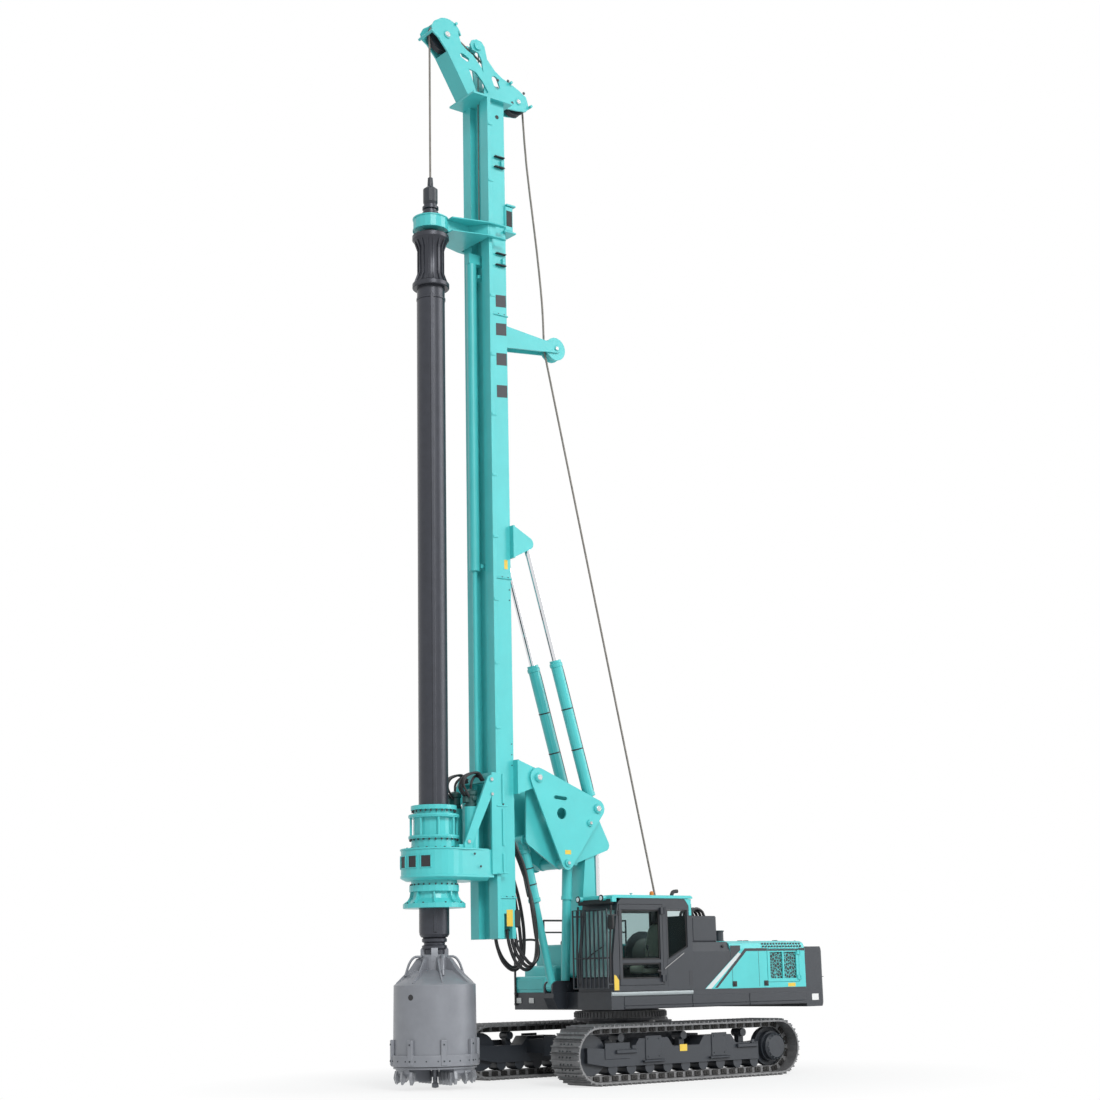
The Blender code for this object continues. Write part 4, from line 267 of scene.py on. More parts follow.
def lathe(start, end, profile, sides=24, hollow=False):
    """A surface of revolution about the line from start to end: radius r at distance h along it for
    each (r, h) of the profile, turned in equal steps. Two flat caps close its ends, or a hollow one is
    closed by a band from its last ring to its first."""
    start, end = np.asarray(start, float), np.asarray(end, float)
    along = (end - start) / np.linalg.norm(end - start)
    side = np.cross(along, (0, 1, 0) if abs(along[1]) < 0.9 else (1, 0, 0))
    side /= np.linalg.norm(side)
    other = np.cross(along, side)
    turn = np.linspace(0, 2 * np.pi, sides, endpoint=False)
    spoke = np.cos(turn)[:, None] * side + np.sin(turn)[:, None] * other
    rows = [start + along * h + spoke * r for r, h in profile]
    points = np.concatenate(rows)
    faces = bands(sides, len(profile))
    if hollow:
        index = np.arange(sides)
        after = (index + 1) % sides
        last = sides * (len(profile) - 1)
        faces += np.stack((last + index, last + after, after, index), 1).tolist()
    else:
        faces += caps_of(sides, len(profile))
    return points, faces


def upright(x, y, z, profile, sides=24, hollow=False):
    """A surface of revolution about a vertical line, its profile measured up from z."""
    return lathe(at(x, y, z), at(x, y, z + 1), profile, sides, hollow)


def outward(x, y, z, profile, sides=24):
    """A surface of revolution about a line across the rig, facing out on the side that y is on."""
    return lathe(at(x, y, z), at(x, y + (1 if y > 0 else -1), z), profile, sides)


def tube(route, radius, sides=10, smooth=6):
    """A round tube along a Catmull-Rom curve through the route's points: the curve is sampled, a frame
    is carried along it without twist, and a circle of the radius is set square to it at each sample."""
    route = np.asarray(route, float)
    if smooth:
        padded = np.vstack((2 * route[0] - route[1], route, 2 * route[-1] - route[-2]))
        t = np.linspace(0, 1, smooth, endpoint=False)[:, None]
        spans = []
        for p0, p1, p2, p3 in zip(padded, padded[1:], padded[2:], padded[3:]):
            square, cube = 2 * p0 - 5 * p1 + 4 * p2 - p3, 3 * p1 - p0 - 3 * p2 + p3
            spans.append(0.5 * (2 * p1 + (p2 - p0) * t + square * t**2 + cube * t**3))
        route = np.vstack((*spans, route[-1:]))
    ways = np.gradient(route, axis=0)
    ways /= np.linalg.norm(ways, axis=1)[:, None]
    side = np.cross(ways[0], (0.3, 0.9, 0.1))
    turn = np.linspace(0, 2 * np.pi, sides, endpoint=False)
    rows = []
    for point, way in zip(route, ways):
        side = side - way * (side @ way)
        side /= np.linalg.norm(side)
        rows.append(point + radius * (np.cos(turn)[:, None] * side + np.sin(turn)[:, None] * np.cross(way, side)))
    return np.concatenate(rows), bands(sides, len(rows)) + caps_of(sides, len(rows))


def sheet(outline, axis, low, high):
    """A flat piece of any outline: the outline's two coordinates are those that follow the axis in turn
    (X: y, z; Y: x, z; Z: x, y) and the piece reaches from low to high along the axis."""
    outline = np.asarray(outline, float)
    count = len(outline)
    others = [k for k in range(3) if k != axis]
    points = np.empty((2 * count, 3))
    points[:, others] = np.vstack((outline, outline))
    points[:count, axis], points[count:, axis] = low, high
    area = np.sum(outline[:, 0] * np.roll(outline[:, 1], -1) - np.roll(outline[:, 0], -1) * outline[:, 1])
    faces = caps_of(count, 2) + bands(count, 2)
    flip = (area > 0) == (axis == 1)
    if high < low:
        flip = not flip
    if flip:
        faces = [face[::-1] for face in faces]
    return points, faces


def bolts(centres, way, radius, tall):
    """Hexagon bolt heads: a six-sided lathe profile with a chamfered crown, one at each centre."""
    profile = ((radius, 0), (radius, tall * 0.8), (radius * 0.8, tall))
    return [lathe(centre, centre + np.asarray(way, float), profile, 6) for centre in np.asarray(centres, float)]


def build(name, shapes, material, body, crease=35):
    """One piece from several (vertices, faces) pairs; edges sharper than the crease stay sharp."""
    points, faces, base = [], [], 0
    for verts, rows in shapes:
        points.append(verts)
        faces += [[base + i for i in row] for row in rows]
        base += len(verts)
    mesh = bpy.data.meshes.new(name)
    mesh.from_pydata(np.concatenate(points).tolist(), [], faces)
    mesh.materials.append(material)
    mesh.shade_smooth()
    mesh.set_sharp_from_angle(angle=math.radians(crease))
    piece = bpy.data.objects.new(name, mesh)
    scene.collection.objects.link(piece)
    if body:
        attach(piece, body)
    return piece


# Ropes: steel wire rope, 42 mm, from the swivel over the head, down behind the mast to the winch.
# Two stretches ride on the mast; the two at its ends, down to the kelly and to the winch, ride on no body.
def rope_coat(name, colour, pitch=60.0):
    """Tone and relief follow a wave that runs across the rope, as its strands do."""
    material = coat(name, colour, 0.55, 0.5, mottle=0.2, scale=12, grain=0.0, edge=0)
    tree = material.node_tree
    where = add_node(tree, "TexCoord").outputs["Object"]
    strands = add_node(tree, "TexWave", {"Scale": pitch, "Vector": where}, bands_direction="DIAGONAL")
    relief = add_node(tree, "Bump", {"Strength": 0.6, "Distance": 0.004, "Height": strands.outputs["Fac"]})
    tree.links.new(relief.outputs["Normal"], tree.nodes["Principled BSDF"].inputs["Normal"])
    return material


rope_steel = rope_coat("wire_rope", (0.24, 0.22, 0.20))
ROPE_R = 0.021
KELLY_X = 4.27
front_c, front_r = at(3.98, 0, 20.42), 0.29
rear_c, rear_r = at(2.20, 0, 19.47), 0.23
roller_c, roller_r = at(1.30, 0, 14.30), 0.225
winch_c, winch_r = at(-0.92, 0, 2.28), 0.30


def on_circle(centre, radius, first, last, count=10):
    """Points round a circle in the XZ plane between two angles in degrees."""
    turn = np.radians(np.linspace(first, last, count))
    return centre + radius * np.stack((np.cos(turn), 0 * turn, np.sin(turn)), 1)


drop = [at(KELLY_X, 0, z) for z in np.linspace(17.28, 20.42, 40)]
piece = build("kelly_rope", [tube(drop, ROPE_R, 10, 0)], rope_steel, None)
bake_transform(piece)
upper_route = [*on_circle(front_c, front_r, 0, 112, 12), *on_circle(rear_c, rear_r, 118, 178, 6)]
upper_route += [at(1.88, 0, 18.2), at(1.66, 0, 16.4), at(1.545, 0, 15.2), *on_circle(roller_c, roller_r, 8, -14, 4)]
build("hoist_rope", [tube(upper_route, ROPE_R, 10, 3)], rope_steel, "mast")
start, end = on_circle(roller_c, roller_r, -14, -14, 1)[0], on_circle(winch_c, winch_r, 168, 168, 1)[0]
share = np.linspace(0, 1, 60)[:, None]
fall = start + (end - start) * share
piece = build("winch_rope", [tube(fall, ROPE_R, 10, 0)], rope_steel, None)
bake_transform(piece)
second = [at(3.10, 0.045, 20.44), at(3.10, 0.045, 20.2), at(3.115, 0.04, 19.3), at(3.12, 0.03, 16.2)]
build("second_rope", [tube(second, 0.012, 8, 4)], rope_steel, "mast")

for name, centre, half, core, full, body in (
    ("main_winch_coils", winch_c, 0.345, 0.275, 0.31, "main_winch"),
    ("aux_winch_coils", at(-0.08, 0, 1.96), 0.222, 0.178, 0.205, "aux_winch"),
):
    turns = 18
    steps = np.linspace(-half, half, turns * 6 + 1)
    bulge = full - 0.012 + 0.012 * np.abs(np.sin(np.pi * turns * (steps + half) / (2 * half)))
    profile = [(core, -half), *zip(bulge, steps), (core, half)]
    build(name, [lathe(centre, centre + (0, 1, 0), profile, 32)], rope_steel, body, 60)


# Glass of the cab, sealed in black rubber: clear and slightly green, and more of a mirror at a slant.
# The windscreen has a copy of the same glass whose pale teal colour is a painted reflection, shown strongly even
# face-on.
glass, tree, pane = new_material("cab_glass")
pane.inputs["Base Color"].default_value = (0.02, 0.03, 0.03, 1)
pane.inputs["Roughness"].default_value = 0.03
clear = add_node(tree, "BsdfTransparent", {"Color": (0.80, 0.87, 0.87, 1)})
facing = add_node(tree, "LayerWeight", {"Blend": 0.25})
thinner = add_node(tree, "MapRange", {"Value": facing.outputs["Fresnel"], "To Min": 0.05, "To Max": 0.75})
both = add_node(tree, "MixShader", {0: thinner.outputs["Result"], 1: clear.outputs[0], 2: pane.outputs[0]})
tree.links.new(both.outputs[0], tree.nodes["Material Output"].inputs["Surface"])
rubber = coat("black_rubber", (0.018, 0.018, 0.020), 0.62, mottle=0.15, scale=20, grain=0.4, edge=0)


def oblong(x0, z0, x1, z1):
    """The corners of a rectangle, given by two opposite ones."""
    return (x0, z0), (x1, z0), (x1, z1), (x0, z1)


def glazing(name, outline, y, body, thick=0.006):
    """A pane of an (x, z) outline with a rubber seal round it: the seal is a strip between the outline
    and the same outline drawn in towards its middle, a little thicker than the pane."""
    outline = np.asarray(outline, float) + (SLEW_X, 0)
    build(name, [sheet(outline, 1, y - thick / 2, y + thick / 2)], glass, body)
    centre = outline.mean(0)
    size = np.abs(outline - centre).max(0)
    inner = centre + (outline - centre) * (1 - 0.022 / size)
    count = len(outline)
    points, faces = [], []
    for k in range(count):
        n = (k + 1) % count
        quad = np.array((outline[k], outline[n], inner[n], inner[k]))
        p, f = sheet(quad, 1, y - thick * 1.6, y + thick * 1.6)
        faces += [[len(points) + i for i in face] for face in f]
        points += p.tolist()
    build(name + "_seal", [(np.array(points), faces)], rubber, body)


PANE_Y = 1.592
glazing("door_pane_upper", oblong(0.329, 2.163, 1.245, 3.057), PANE_Y, "cab_door")
glazing("door_pane_lower", oblong(0.329, 1.823, 1.245, 2.097), PANE_Y, "cab_door")
glazing("quarter_pane", ((-0.347, 2.383), (0.137, 2.165), (0.137, 3.057), (-0.347, 3.057)), PANE_Y, "upper")
glazing("inner_pane", oblong(-0.287, 2.163, 1.157, 3.057), 0.628, "upper")
low_pane = [at(1.432, 0.665, 1.86), at(1.432, 1.555, 1.86), at(1.432, 1.555, 2.185), at(1.432, 0.665, 2.185)]
high_pane = [at(1.428, 0.665, 2.215), at(1.428, 1.555, 2.215), at(1.335, 1.555, 3.055), at(1.335, 0.665, 3.055)]
panes = []
for corners in (low_pane, high_pane):
    front = np.array(corners)
    points = np.vstack((front, front - (0.006, 0, 0)))
    panes.append((points, [[0, 1, 2, 3], [7, 6, 5, 4], [1, 0, 4, 5], [2, 1, 5, 6], [3, 2, 6, 7], [0, 3, 7, 4]]))
painted_reflection_glass = glass.copy()
painted_reflection_glass.name = "screen_glass"
# pale teal base colour and a high floor on the pane's share: a painted reflection on the windscreen
painted_reflection_glass.node_tree.nodes["Principled BSDF"].inputs["Base Color"].default_value = (0.34, 0.58, 0.58, 1)
painted_reflection_glass.node_tree.nodes["Map Range"].inputs["To Min"].default_value = 0.55
build("windscreen", panes, painted_reflection_glass, "upper")
bar = [slab(at(1.415, 0.662, 2.185), at(1.44, 1.558, 2.215), 0.005)]
build("windscreen_bar", bar, charcoal, "upper")


# Operator's seat: a dished cushion and a leaning back in beige vinyl, both padded, over a black base.
# The base stands for the solid seat. Two consoles with levers and a display stand round it.
def cushion(centre, size, power=5.0, dish=0.03, rows=14):
    """A rounded block: x, y, z are signed powers of the sphere's sines and cosines (a superellipsoid),
    and the top is dished by a cosine across its width."""
    u = np.linspace(-np.pi / 2, np.pi / 2, rows)
    v = np.linspace(-np.pi, np.pi, rows * 2, endpoint=False)
    u, v = np.meshgrid(u, v, indexing="ij")
    power = 2 / power

    def shaped(value):
        return np.sign(value) * np.abs(value) ** power

    x, y, z = shaped(np.cos(u)) * shaped(np.cos(v)), shaped(np.cos(u)) * shaped(np.sin(v)), shaped(np.sin(u))
    z = z - dish / size[2] * np.clip(z, 0, 1) * np.cos(np.pi / 2 * y)
    points = np.stack((x, y, z), -1).reshape(-1, 3) * np.array(size) + np.array(centre)
    return points, bands(rows * 2, rows)


seat = build("seat_cushion", [cushion(at(0.27, 1.11, 1.99), (0.24, 0.25, 0.085))], vinyl, "upper", 60)
back_rest = cushion(at(0.0, 1.11, 2.42), (0.08, 0.24, 0.40), 4.0, 0.0)
lean = (back_rest[0][:, 2] - 2.42) * -0.16
back_rest[0][:, 0] += lean
piece = build("seat_back", [back_rest], vinyl, "upper", 60)
base = [slab(at(0.10, 0.93, 1.67), at(0.42, 1.29, 1.74), 0.02)]
for level in range(3):
    z = 1.76 + level * 0.05
    base.append(slab(at(0.14, 0.98, z - 0.02), at(0.38, 1.24, z + 0.018), 0.018))
piece = build("seat_base", base, rubber, "upper")
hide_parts("seat")
consoles = [slab(at(0.16, y - 0.05, 2.0), at(0.56, y + 0.05, 2.22), 0.02) for y in (0.78, 1.44)]
for y in (0.78, 1.44):
    consoles.append(tube([at(0.46, y, 2.2), at(0.48, y, 2.3), at(0.49, y, 2.36)], 0.012, 8, 3))
    consoles.append(cushion(at(0.49, y, 2.39), (0.024, 0.02, 0.045), 3.0, 0.0, 8))
consoles.append(slab(at(1.02, 0.75, 2.25), at(1.08, 1.0, 2.50), 0.015))
consoles.append(tube([at(1.05, 0.87, 1.70), at(1.08, 0.87, 2.0), at(1.05, 0.87, 2.3)], 0.02, 8, 4))
build("cab_controls", consoles, rubber, "upper")


# Flat markings of house and mast: stripes and blank labels, 2 mm thick, light, dark, yellow or white.
# Then the grilles of the hood's doors: a punched mesh with painted shade in its holes, two rows of louvres, seams and
# latches.
def flat_paint(name, colour, roughness=0.45):
    """A smooth coat without rounded edges, for thin pieces."""
    return coat(name, colour, roughness, mottle=0.04, scale=6, grain=0.05, edge=0)


light_paint = flat_paint("light_stripe", (0.62, 0.66, 0.66))
dark_paint = flat_paint("dark_stripe", (0.022, 0.025, 0.032))
yellow_label = flat_paint("yellow_label", (0.75, 0.52, 0.06))
white_label = flat_paint("white_label", (0.72, 0.73, 0.72))
SIDE = 1.5805


def side_mark(name, outline, y, material, body, thick=0.002):
    """A thin flat piece of an (x, z) outline on a side wall at y."""
    outline = np.asarray(outline, float) + (SLEW_X, 0)
    return build(name, [sheet(outline, 1, min(y, y + thick), max(y, y + thick))], material, body)


SWEEP_Y = SIDE + 0.0022
light_sweep = ((-0.80, 1.608), (-0.94, 1.608), (-1.74, 2.24), (-1.665, 2.268))
dark_sweep = ((-1.03, 1.62), (-1.10, 1.62), (-1.88, 2.295), (-2.425, 2.295), (-2.425, 2.345), (-1.84, 2.345))
right_sweep = ((-1.50, 1.98), (-1.55, 1.95), (-1.88, 2.295), (-2.425, 2.295), (-2.425, 2.345), (-1.84, 2.345))
for name, outline, y, material, body in (
    ("light_sweep", light_sweep, SWEEP_Y, light_paint, "upper"),
    ("dark_sweep", dark_sweep, SWEEP_Y, dark_paint, "upper"),
    ("dark_tail", oblong(-3.286, 2.295, -3.44, 2.345), SWEEP_Y, dark_paint, "upper"),
    ("door_band", oblong(-2.44, 2.295, -3.27, 2.326), SWEEP_Y, dark_paint, "left_hood_door"),
    ("right_sweep", right_sweep, -1.5025, dark_paint, "upper"),
    ("hood_label", oblong(-2.96, 1.61, -3.16, 1.68), SIDE, yellow_label, "upper"),
    ("weight_label", oblong(-3.60, 1.34, -3.78, 1.46), SIDE, white_label, "upper"),
):
    side_mark(name, outline, y, material, body)
MAST_SIDE = 0.3305
for index, z in enumerate((14.94, 14.35, 13.73, 13.07)):
    mark = ((2.955, z + 0.10), (2.705, z + 0.13), (2.705, z - 0.12), (2.955, z - 0.15))
    side_mark(f"mast_mark_{index}", mark, MAST_SIDE, dark_paint, "mast")
side_mark("mast_label", oblong(2.76, 9.50, 2.84, 9.68), MAST_SIDE, yellow_label, "mast")
side_mark("plate_label", oblong(1.52, 4.12, 1.66, 4.20), 0.5205, yellow_label, "triangle")

mesh_with_painted_hole_shade, tree, metal = new_material("grille_mesh")
where = add_node(tree, "TexCoord").outputs["Object"]
cells = add_node(tree, "TexVoronoi", {"Scale": 17.0, "Vector": where}, feature="DISTANCE_TO_EDGE")
web = add_node(tree, "MapRange", {"Value": cells.outputs["Distance"], "From Min": 0.055, "From Max": 0.095})
# B, near-black in the middle of each cell, is painted shade for the space seen through the mesh's holes; A is the
# teal web
web_and_hole_shade = {"A": (0.07, 0.42, 0.42, 1), "B": (0.012, 0.016, 0.018, 1), "Factor": web.outputs["Result"]}
tone = add_node(tree, "Mix", web_and_hole_shade, data_type="RGBA")
metal.inputs["Roughness"].default_value = 0.6
tree.links.new(tone.outputs["Result"], metal.inputs["Base Color"])

for side, out, body in (("left", 1.58, "left_hood_door"), ("right", -1.50, "right_hood_door")):
    sign = 1 if out > 0 else -1
    panels = []
    for x0, x1 in ((-3.209, -2.876), (-2.836, -2.502)):
        panels.append(slab(at(x0, out - sign * 0.030, 1.768), at(x1, out - sign * 0.022, 2.272), 0.002))
    build(side + "_grille_mesh", panels, mesh_with_painted_hole_shade, body)
    slats = []
    for row in range(2):
        for index in range(14):
            x = -3.36 + index * 0.077
            low_z, y = 2.362 + row * 0.05, out - sign * (0.004 + row * 0.028)
            slats.append(slab(at(x, y, low_z), at(x + 0.05, y + sign * 0.010, low_z + 0.034), 0.006))
    build(side + "_louvres", slats, charcoal, "upper")
    seams = [slab(at(x, out, 1.63), at(x + 0.008, out + sign * 0.002, 2.34), 0.001) for x in (-1.50, -2.20)]
    build(side + "_seams", seams, dark_paint, "upper")
    catches = []
    for x in (-1.60, -2.43):
        catches.append(slab(at(x, out, 1.635), at(x + 0.115, out + sign * 0.012, 1.735), 0.010))
        catches.append(slab(at(x + 0.03, out + sign * 0.010, 1.66), at(x + 0.085, out + sign * 0.026, 1.70)))
    build(side + "_latches", catches, rubber, "upper")


# More mesh makers, and the bare metal, hose and paint finishes of the small pieces.
# UP, DOWN, LEFT and RIGHT are the ways that bolts face.
def stack(outlines):
    """A closed skin over equal-length rings of points, laid one above the other and capped."""
    rings = [np.asarray(ring, float) for ring in outlines]
    count = len(rings[0])
    faces = bands(count, len(rings)) + caps_of(count, len(rings))
    points = np.concatenate(rings)
    middle = points.mean(0)
    first = points[faces[0]]
    if np.cross(first[1] - first[0], first[2] - first[0]) @ (first.mean(0) - middle) < 0:
        faces = [face[::-1] for face in faces]
    return points, faces


def turned(shape, centre, angle, second=1):
    """A shape turned through a centre by an angle in radians, from X towards the second axis."""
    points, faces = shape
    x, across_x = points[:, 0] - centre[0], points[:, second] - centre[second]
    spun = points.copy()
    spun[:, 0] = centre[0] + np.cos(angle) * x - np.sin(angle) * across_x
    spun[:, second] = centre[second] + np.sin(angle) * x + np.cos(angle) * across_x
    return spun, faces


def round_z(centre, radius, count, first=0.0):
    """Places evenly round a vertical axis."""
    turn = first + np.linspace(0, 2 * np.pi, count, endpoint=False)
    return np.stack((centre[0] + radius * np.cos(turn), centre[1] + radius * np.sin(turn), 0 * turn + centre[2]), 1)


dark_bolt = coat("bolt_steel", (0.06, 0.07, 0.075), 0.42, 0.8, scale=30, grain=0.1, edge=0)
bright_pin = coat("pin_steel", (0.42, 0.42, 0.42), 0.34, 0.9, mottle=0.12, scale=18, grain=0.1, edge=0)
tooth_steel = coat("tooth_steel", (0.30, 0.31, 0.33), 0.38, 0.5, mottle=0.2, scale=14, grain=0.2, edge=0)
hose_black = coat("hose_black", (0.016, 0.016, 0.018), 0.38, mottle=0.12, scale=30, grain=0.15, edge=0)
motor_green = coat("motor_green", (0.012, 0.075, 0.072), 0.42, mottle=0.15, scale=8, grain=0.2, edge=0)
DOWN, UP, LEFT, RIGHT = (0, 0, -1), (0, 0, 1), (0, 1, 0), (0, -1, 0)


# Side panel behind the cab: a charcoal wall whose top edge leans in, and the square housing over it.
# With it come its lock, two painted wedges, the hoses on the roof, a breather and the exhaust collar.
def panel_ring(x):
    """The panel's section at x: upright to 2.30, then leaning in to 2.47."""
    section = ((0.62, 1.60), (1.58, 1.60), (1.58, 2.30), (1.49, 2.47), (0.62, 2.47))
    return [at(x, y, z) for y, z in section]


panels = [stack([panel_ring(-1.46), panel_ring(-0.478)]), slab(at(-1.25, 0.66, 2.46), at(-0.58, 1.46, 2.96), 0.025)]
panels.append(slab(at(-1.20, 1.455, 2.50), at(-0.63, 1.468, 2.92), 0.006))
piece = build("side_panel", panels, charcoal, "upper", 25)
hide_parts("side_box")
build(
    "side_panel_lock",
    [lathe(at(-1.30, 1.53, 2.385), at(-1.30, 1.60, 2.42), ((0.03, 0), (0.03, 0.03), (0.02, 0.036)), 16)], rubber,
    "upper"
)
side_mark("teal_wedge", ((-0.78, 1.605), (-1.459, 1.605), (-1.459, 2.12)), SIDE, teal, "upper")
wedge = ((-1.461, 2.12), (-1.66, 2.27), (-1.72, 2.31), (-1.72, 2.40), (-1.461, 2.40))
side_mark("charcoal_wedge", wedge, SIDE, charcoal, "upper")
hoops = [
    tube([at(-0.72, y, 2.95), at(-0.74, y, 3.03), at(-0.86, y, 3.10), at(-1.00, y, 3.05), at(-1.06, y, 2.95)], 0.028)
    for y in (1.02, 1.12, 1.22, 1.32)
]
build("roof_hoses", hoops, hose_black, "upper")
pipe = tube([at(-0.36, 1.20, 3.27), at(-0.36, 1.20, 3.36), at(-0.40, 1.20, 3.415), at(-0.50, 1.20, 3.43)], 0.036, 12)
build("roof_breather", [pipe], rubber, "upper")
build(
    "exhaust_collar",
    [
        upright(
            -1.75, 0.95, 2.47,
            ((0.115, 0), (0.115, 0.03), (0.096, 0.04), (0.096, 0.20), (0.108, 0.205), (0.108, 0.228), (0.07, 0.228)),
            32
        )
    ],
    charcoal, "upper"
)

# Long trim of the house's foot: a silver-grey rail along each side, and the skirt below it.
# The skirt is charcoal, in three panels a side.
silver = coat("silver_trim", (0.30, 0.34, 0.35), 0.35, 0.3, mottle=0.06, scale=6, grain=0.05, edge=0)


def rail_ring(x, y, sign):
    """The rail's rounded section at x, standing out from the wall at y."""
    section = ((0.0, 1.515), (0.022, 1.525), (0.030, 1.555), (0.022, 1.590), (0.0, 1.600))
    return [at(x, y + sign * out, z) for out, z in section]


for name, x0, x1, y, sign in (("left_rail", 1.50, -0.46, 1.58, 1), ("right_rail", 1.38, -1.44, -1.50, -1)):
    build(name, [stack([rail_ring(x0, y, sign), rail_ring(x1, y, sign)])], silver, "upper")
lips = []
for y, sign in ((1.58, 1), (-1.50, -1)):
    for x0, x1 in ((1.20, -0.44), (-0.455, -1.90), (-1.915, -3.40)):
        lips.append(slab(at(x1, y, 1.285), at(x0, y + sign * 0.018, 1.335)))
        lips.append(slab(at(x1, y, 1.345), at(x0, y + sign * 0.010, 1.505), 0.006))
build("skirt_panels", lips, charcoal, "upper", 25)

# Right side of the deck: three rounded teal boxes in steps, which stand for the solid tank boxes.
# Their caps and latches are black, as are the hand pole and rail; two lamps face the front.
def rounded_box(x0, x1, y0, y1, z0, z1, radius, steps=5):
    """A box whose upright edges and top front edge are rounded by quarter circles of one radius."""
    turn = np.linspace(0, np.pi / 2, steps)
    corner = []
    for cx, cy, first in ((x1, y1, 0), (x0, y1, 1), (x0, y0, 2), (x1, y0, 3)):
        sx, sy = (-1 if cx == x1 else 1), (-1 if cy == y1 else 1)
        for t in turn + first * np.pi / 2:
            corner.append((cx + sx * radius + radius * np.cos(t), cy + sy * radius + radius * np.sin(t)))
    corner = np.array(corner)
    middle = corner.mean(0)
    half = np.array((x1 - x0, y1 - y0)) / 2
    rings = [[at(x, y, z0) for x, y in corner]]
    for t in turn:
        inset = radius * (1 - np.cos(t))
        scaled = middle + (corner - middle) * (1 - inset / half)
        rings.append([at(x, y, z1 - radius + radius * np.sin(t)) for x, y in scaled])
    return stack(rings)


boxes = [
    rounded_box(1.17, 1.40, -1.50, -0.50, 1.60, 1.90, 0.03), rounded_box(0.87, 1.18, -1.50, -0.50, 1.60, 2.10, 0.07)
]
boxes.append(rounded_box(-1.46, 0.88, -1.50, -0.50, 1.60, 2.49, 0.05))
boxes += [slab(at(x, -1.508, 1.68), at(x + 0.66, -1.498, 2.38)) for x in (-1.38, -0.62, 0.14)]
boxes.append(slab(at(1.402, -1.42, 1.66), at(1.41, -0.58, 1.84), 0.005))
piece = build("oil_boxes", boxes, teal, "upper", 30)
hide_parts("tank_boxes")
fittings = []
for x in (-1.05, -0.29, 0.47):
    fittings.append(slab(at(x - 0.05, -1.522, 2.20), at(x + 0.05, -1.507, 2.25), 0.006))
fittings += [upright(0.55, -1.0, 2.49, ((0.07, 0), (0.07, 0.05), (0.055, 0.075)), 20)]
fittings += [upright(-0.60, -1.2, 2.49, ((0.05, 0), (0.05, 0.04), (0.035, 0.06)), 20)]
build("oil_box_fittings", fittings, rubber, "upper")
poles = [
    tube(
        [
            at(1.425, -1.44, 1.36), at(1.425, -1.44, 2.0), at(1.425, -1.44, 2.46), at(1.38, -1.44, 2.56),
            at(1.1, -1.44, 2.60), at(0.90, -1.44, 2.58), at(0.84, -1.44, 2.48)
        ],
        0.022, 12, 5
    )
]
poles += [slab(at(1.398, -1.47, z), at(1.44, -1.41, z + 0.05)) for z in (1.36, 1.56)]
rail_x = (-1.40, 0.70)
for x in np.linspace(*rail_x, 4):
    poles.append(tube([at(x, -1.45, 2.48), at(x, -1.45, 2.98)], 0.018, 10, 0))
for z, radius in ((2.97, 0.019), (2.74, 0.016)):
    poles.append(tube([at(x, -1.45, z) for x in rail_x], radius, 10, 0))
build("hand_poles", poles, rubber, "upper")
lamps = [slab(at(1.398, y - 0.07, 1.40), at(1.422, y + 0.07, 1.50)) for y in (-1.35, -0.95)]
build("deck_lamps", lamps, white_label, "upper")

# Cab trim: roof lamps, visor, corner posts, a wiper, mirror, door handle and the bright moulding.
# The roof has a teal hatch and an amber beacon.
lens_white = coat("lamp_lens", (0.85, 0.86, 0.88), 0.12, 0.1, mottle=0.03, scale=40, grain=0.02, edge=0)
lenses, rims = [], []
for y in (0.77, 1.45):
    lenses.append(
        lathe(at(1.578, y, 3.27), at(1.60, y, 3.27), ((0.046, 0), (0.046, 0.006), (0.03, 0.012), (0.01, 0.014)))
    )
    rims.append(lathe(at(1.57, y, 3.27), at(1.60, y, 3.27), ((0.062, 0), (0.062, 0.014), (0.050, 0.016))))
build("lamp_lenses", lenses, lens_white, "upper")
build("lamp_rims", rims, rubber, "upper")
trim = [slab(at(1.40, 0.63, 3.165), at(1.475, 1.60, 3.262), 0.012)]
trim.append(tube([at(1.52, 1.585, 1.70), at(1.515, 1.60, 2.3), at(1.47, 1.60, 3.14)], 0.020, 10, 4))
trim.append(tube([at(1.52, 0.64, 1.70), at(1.515, 0.63, 2.3), at(1.47, 0.63, 3.14)], 0.020, 10, 4))
trim.append(tube([at(1.445, 0.82, 2.19), at(1.452, 1.05, 2.30), at(1.444, 1.34, 2.42)], 0.010, 8, 4))
trim += [slab(at(1.29, 1.59, z), at(1.335, 1.635, z + 0.10), 0.010) for z in (1.80, 2.95)]
trim.append(tube([at(1.46, 1.60, 3.05), at(1.53, 1.66, 3.03), at(1.56, 1.70, 2.95)], 0.010, 8, 4))
build("cab_trim", trim, rubber, "upper")
build("door_handle", [slab(at(0.33, 1.60, 1.93), at(0.42, 1.640, 1.97), 0.012)], rubber, "cab_door")
mirror = cushion(at(1.56, 1.70, 2.83), (0.028, 0.075, 0.13), 5.0, 0.0, 10)
build("mirror_shell", [mirror], rubber, "upper", 60)
build(
    "mirror_glass", [slab(at(1.528, 1.645, 2.72), at(1.536, 1.755, 2.94), 0.003)], bright_pin, "upper"
)
rail = [tube([at(0.24, 1.628, 1.99), at(-0.24, 1.628, 2.27)], 0.008, 8, 0)]
rail += [tube([at(0.86, 1.604, 1.665), at(0.28, 1.604, 1.665)], 0.008, 8, 0)]
build("cab_moulding", rail, bright_pin, "upper")
corner_label = ((1.455, 1.625), (1.455, 1.90), (1.405, 1.88), (1.345, 1.80), (1.345, 1.625))
side_mark("cab_corner_label", corner_label, 1.6225, yellow_label, "upper")
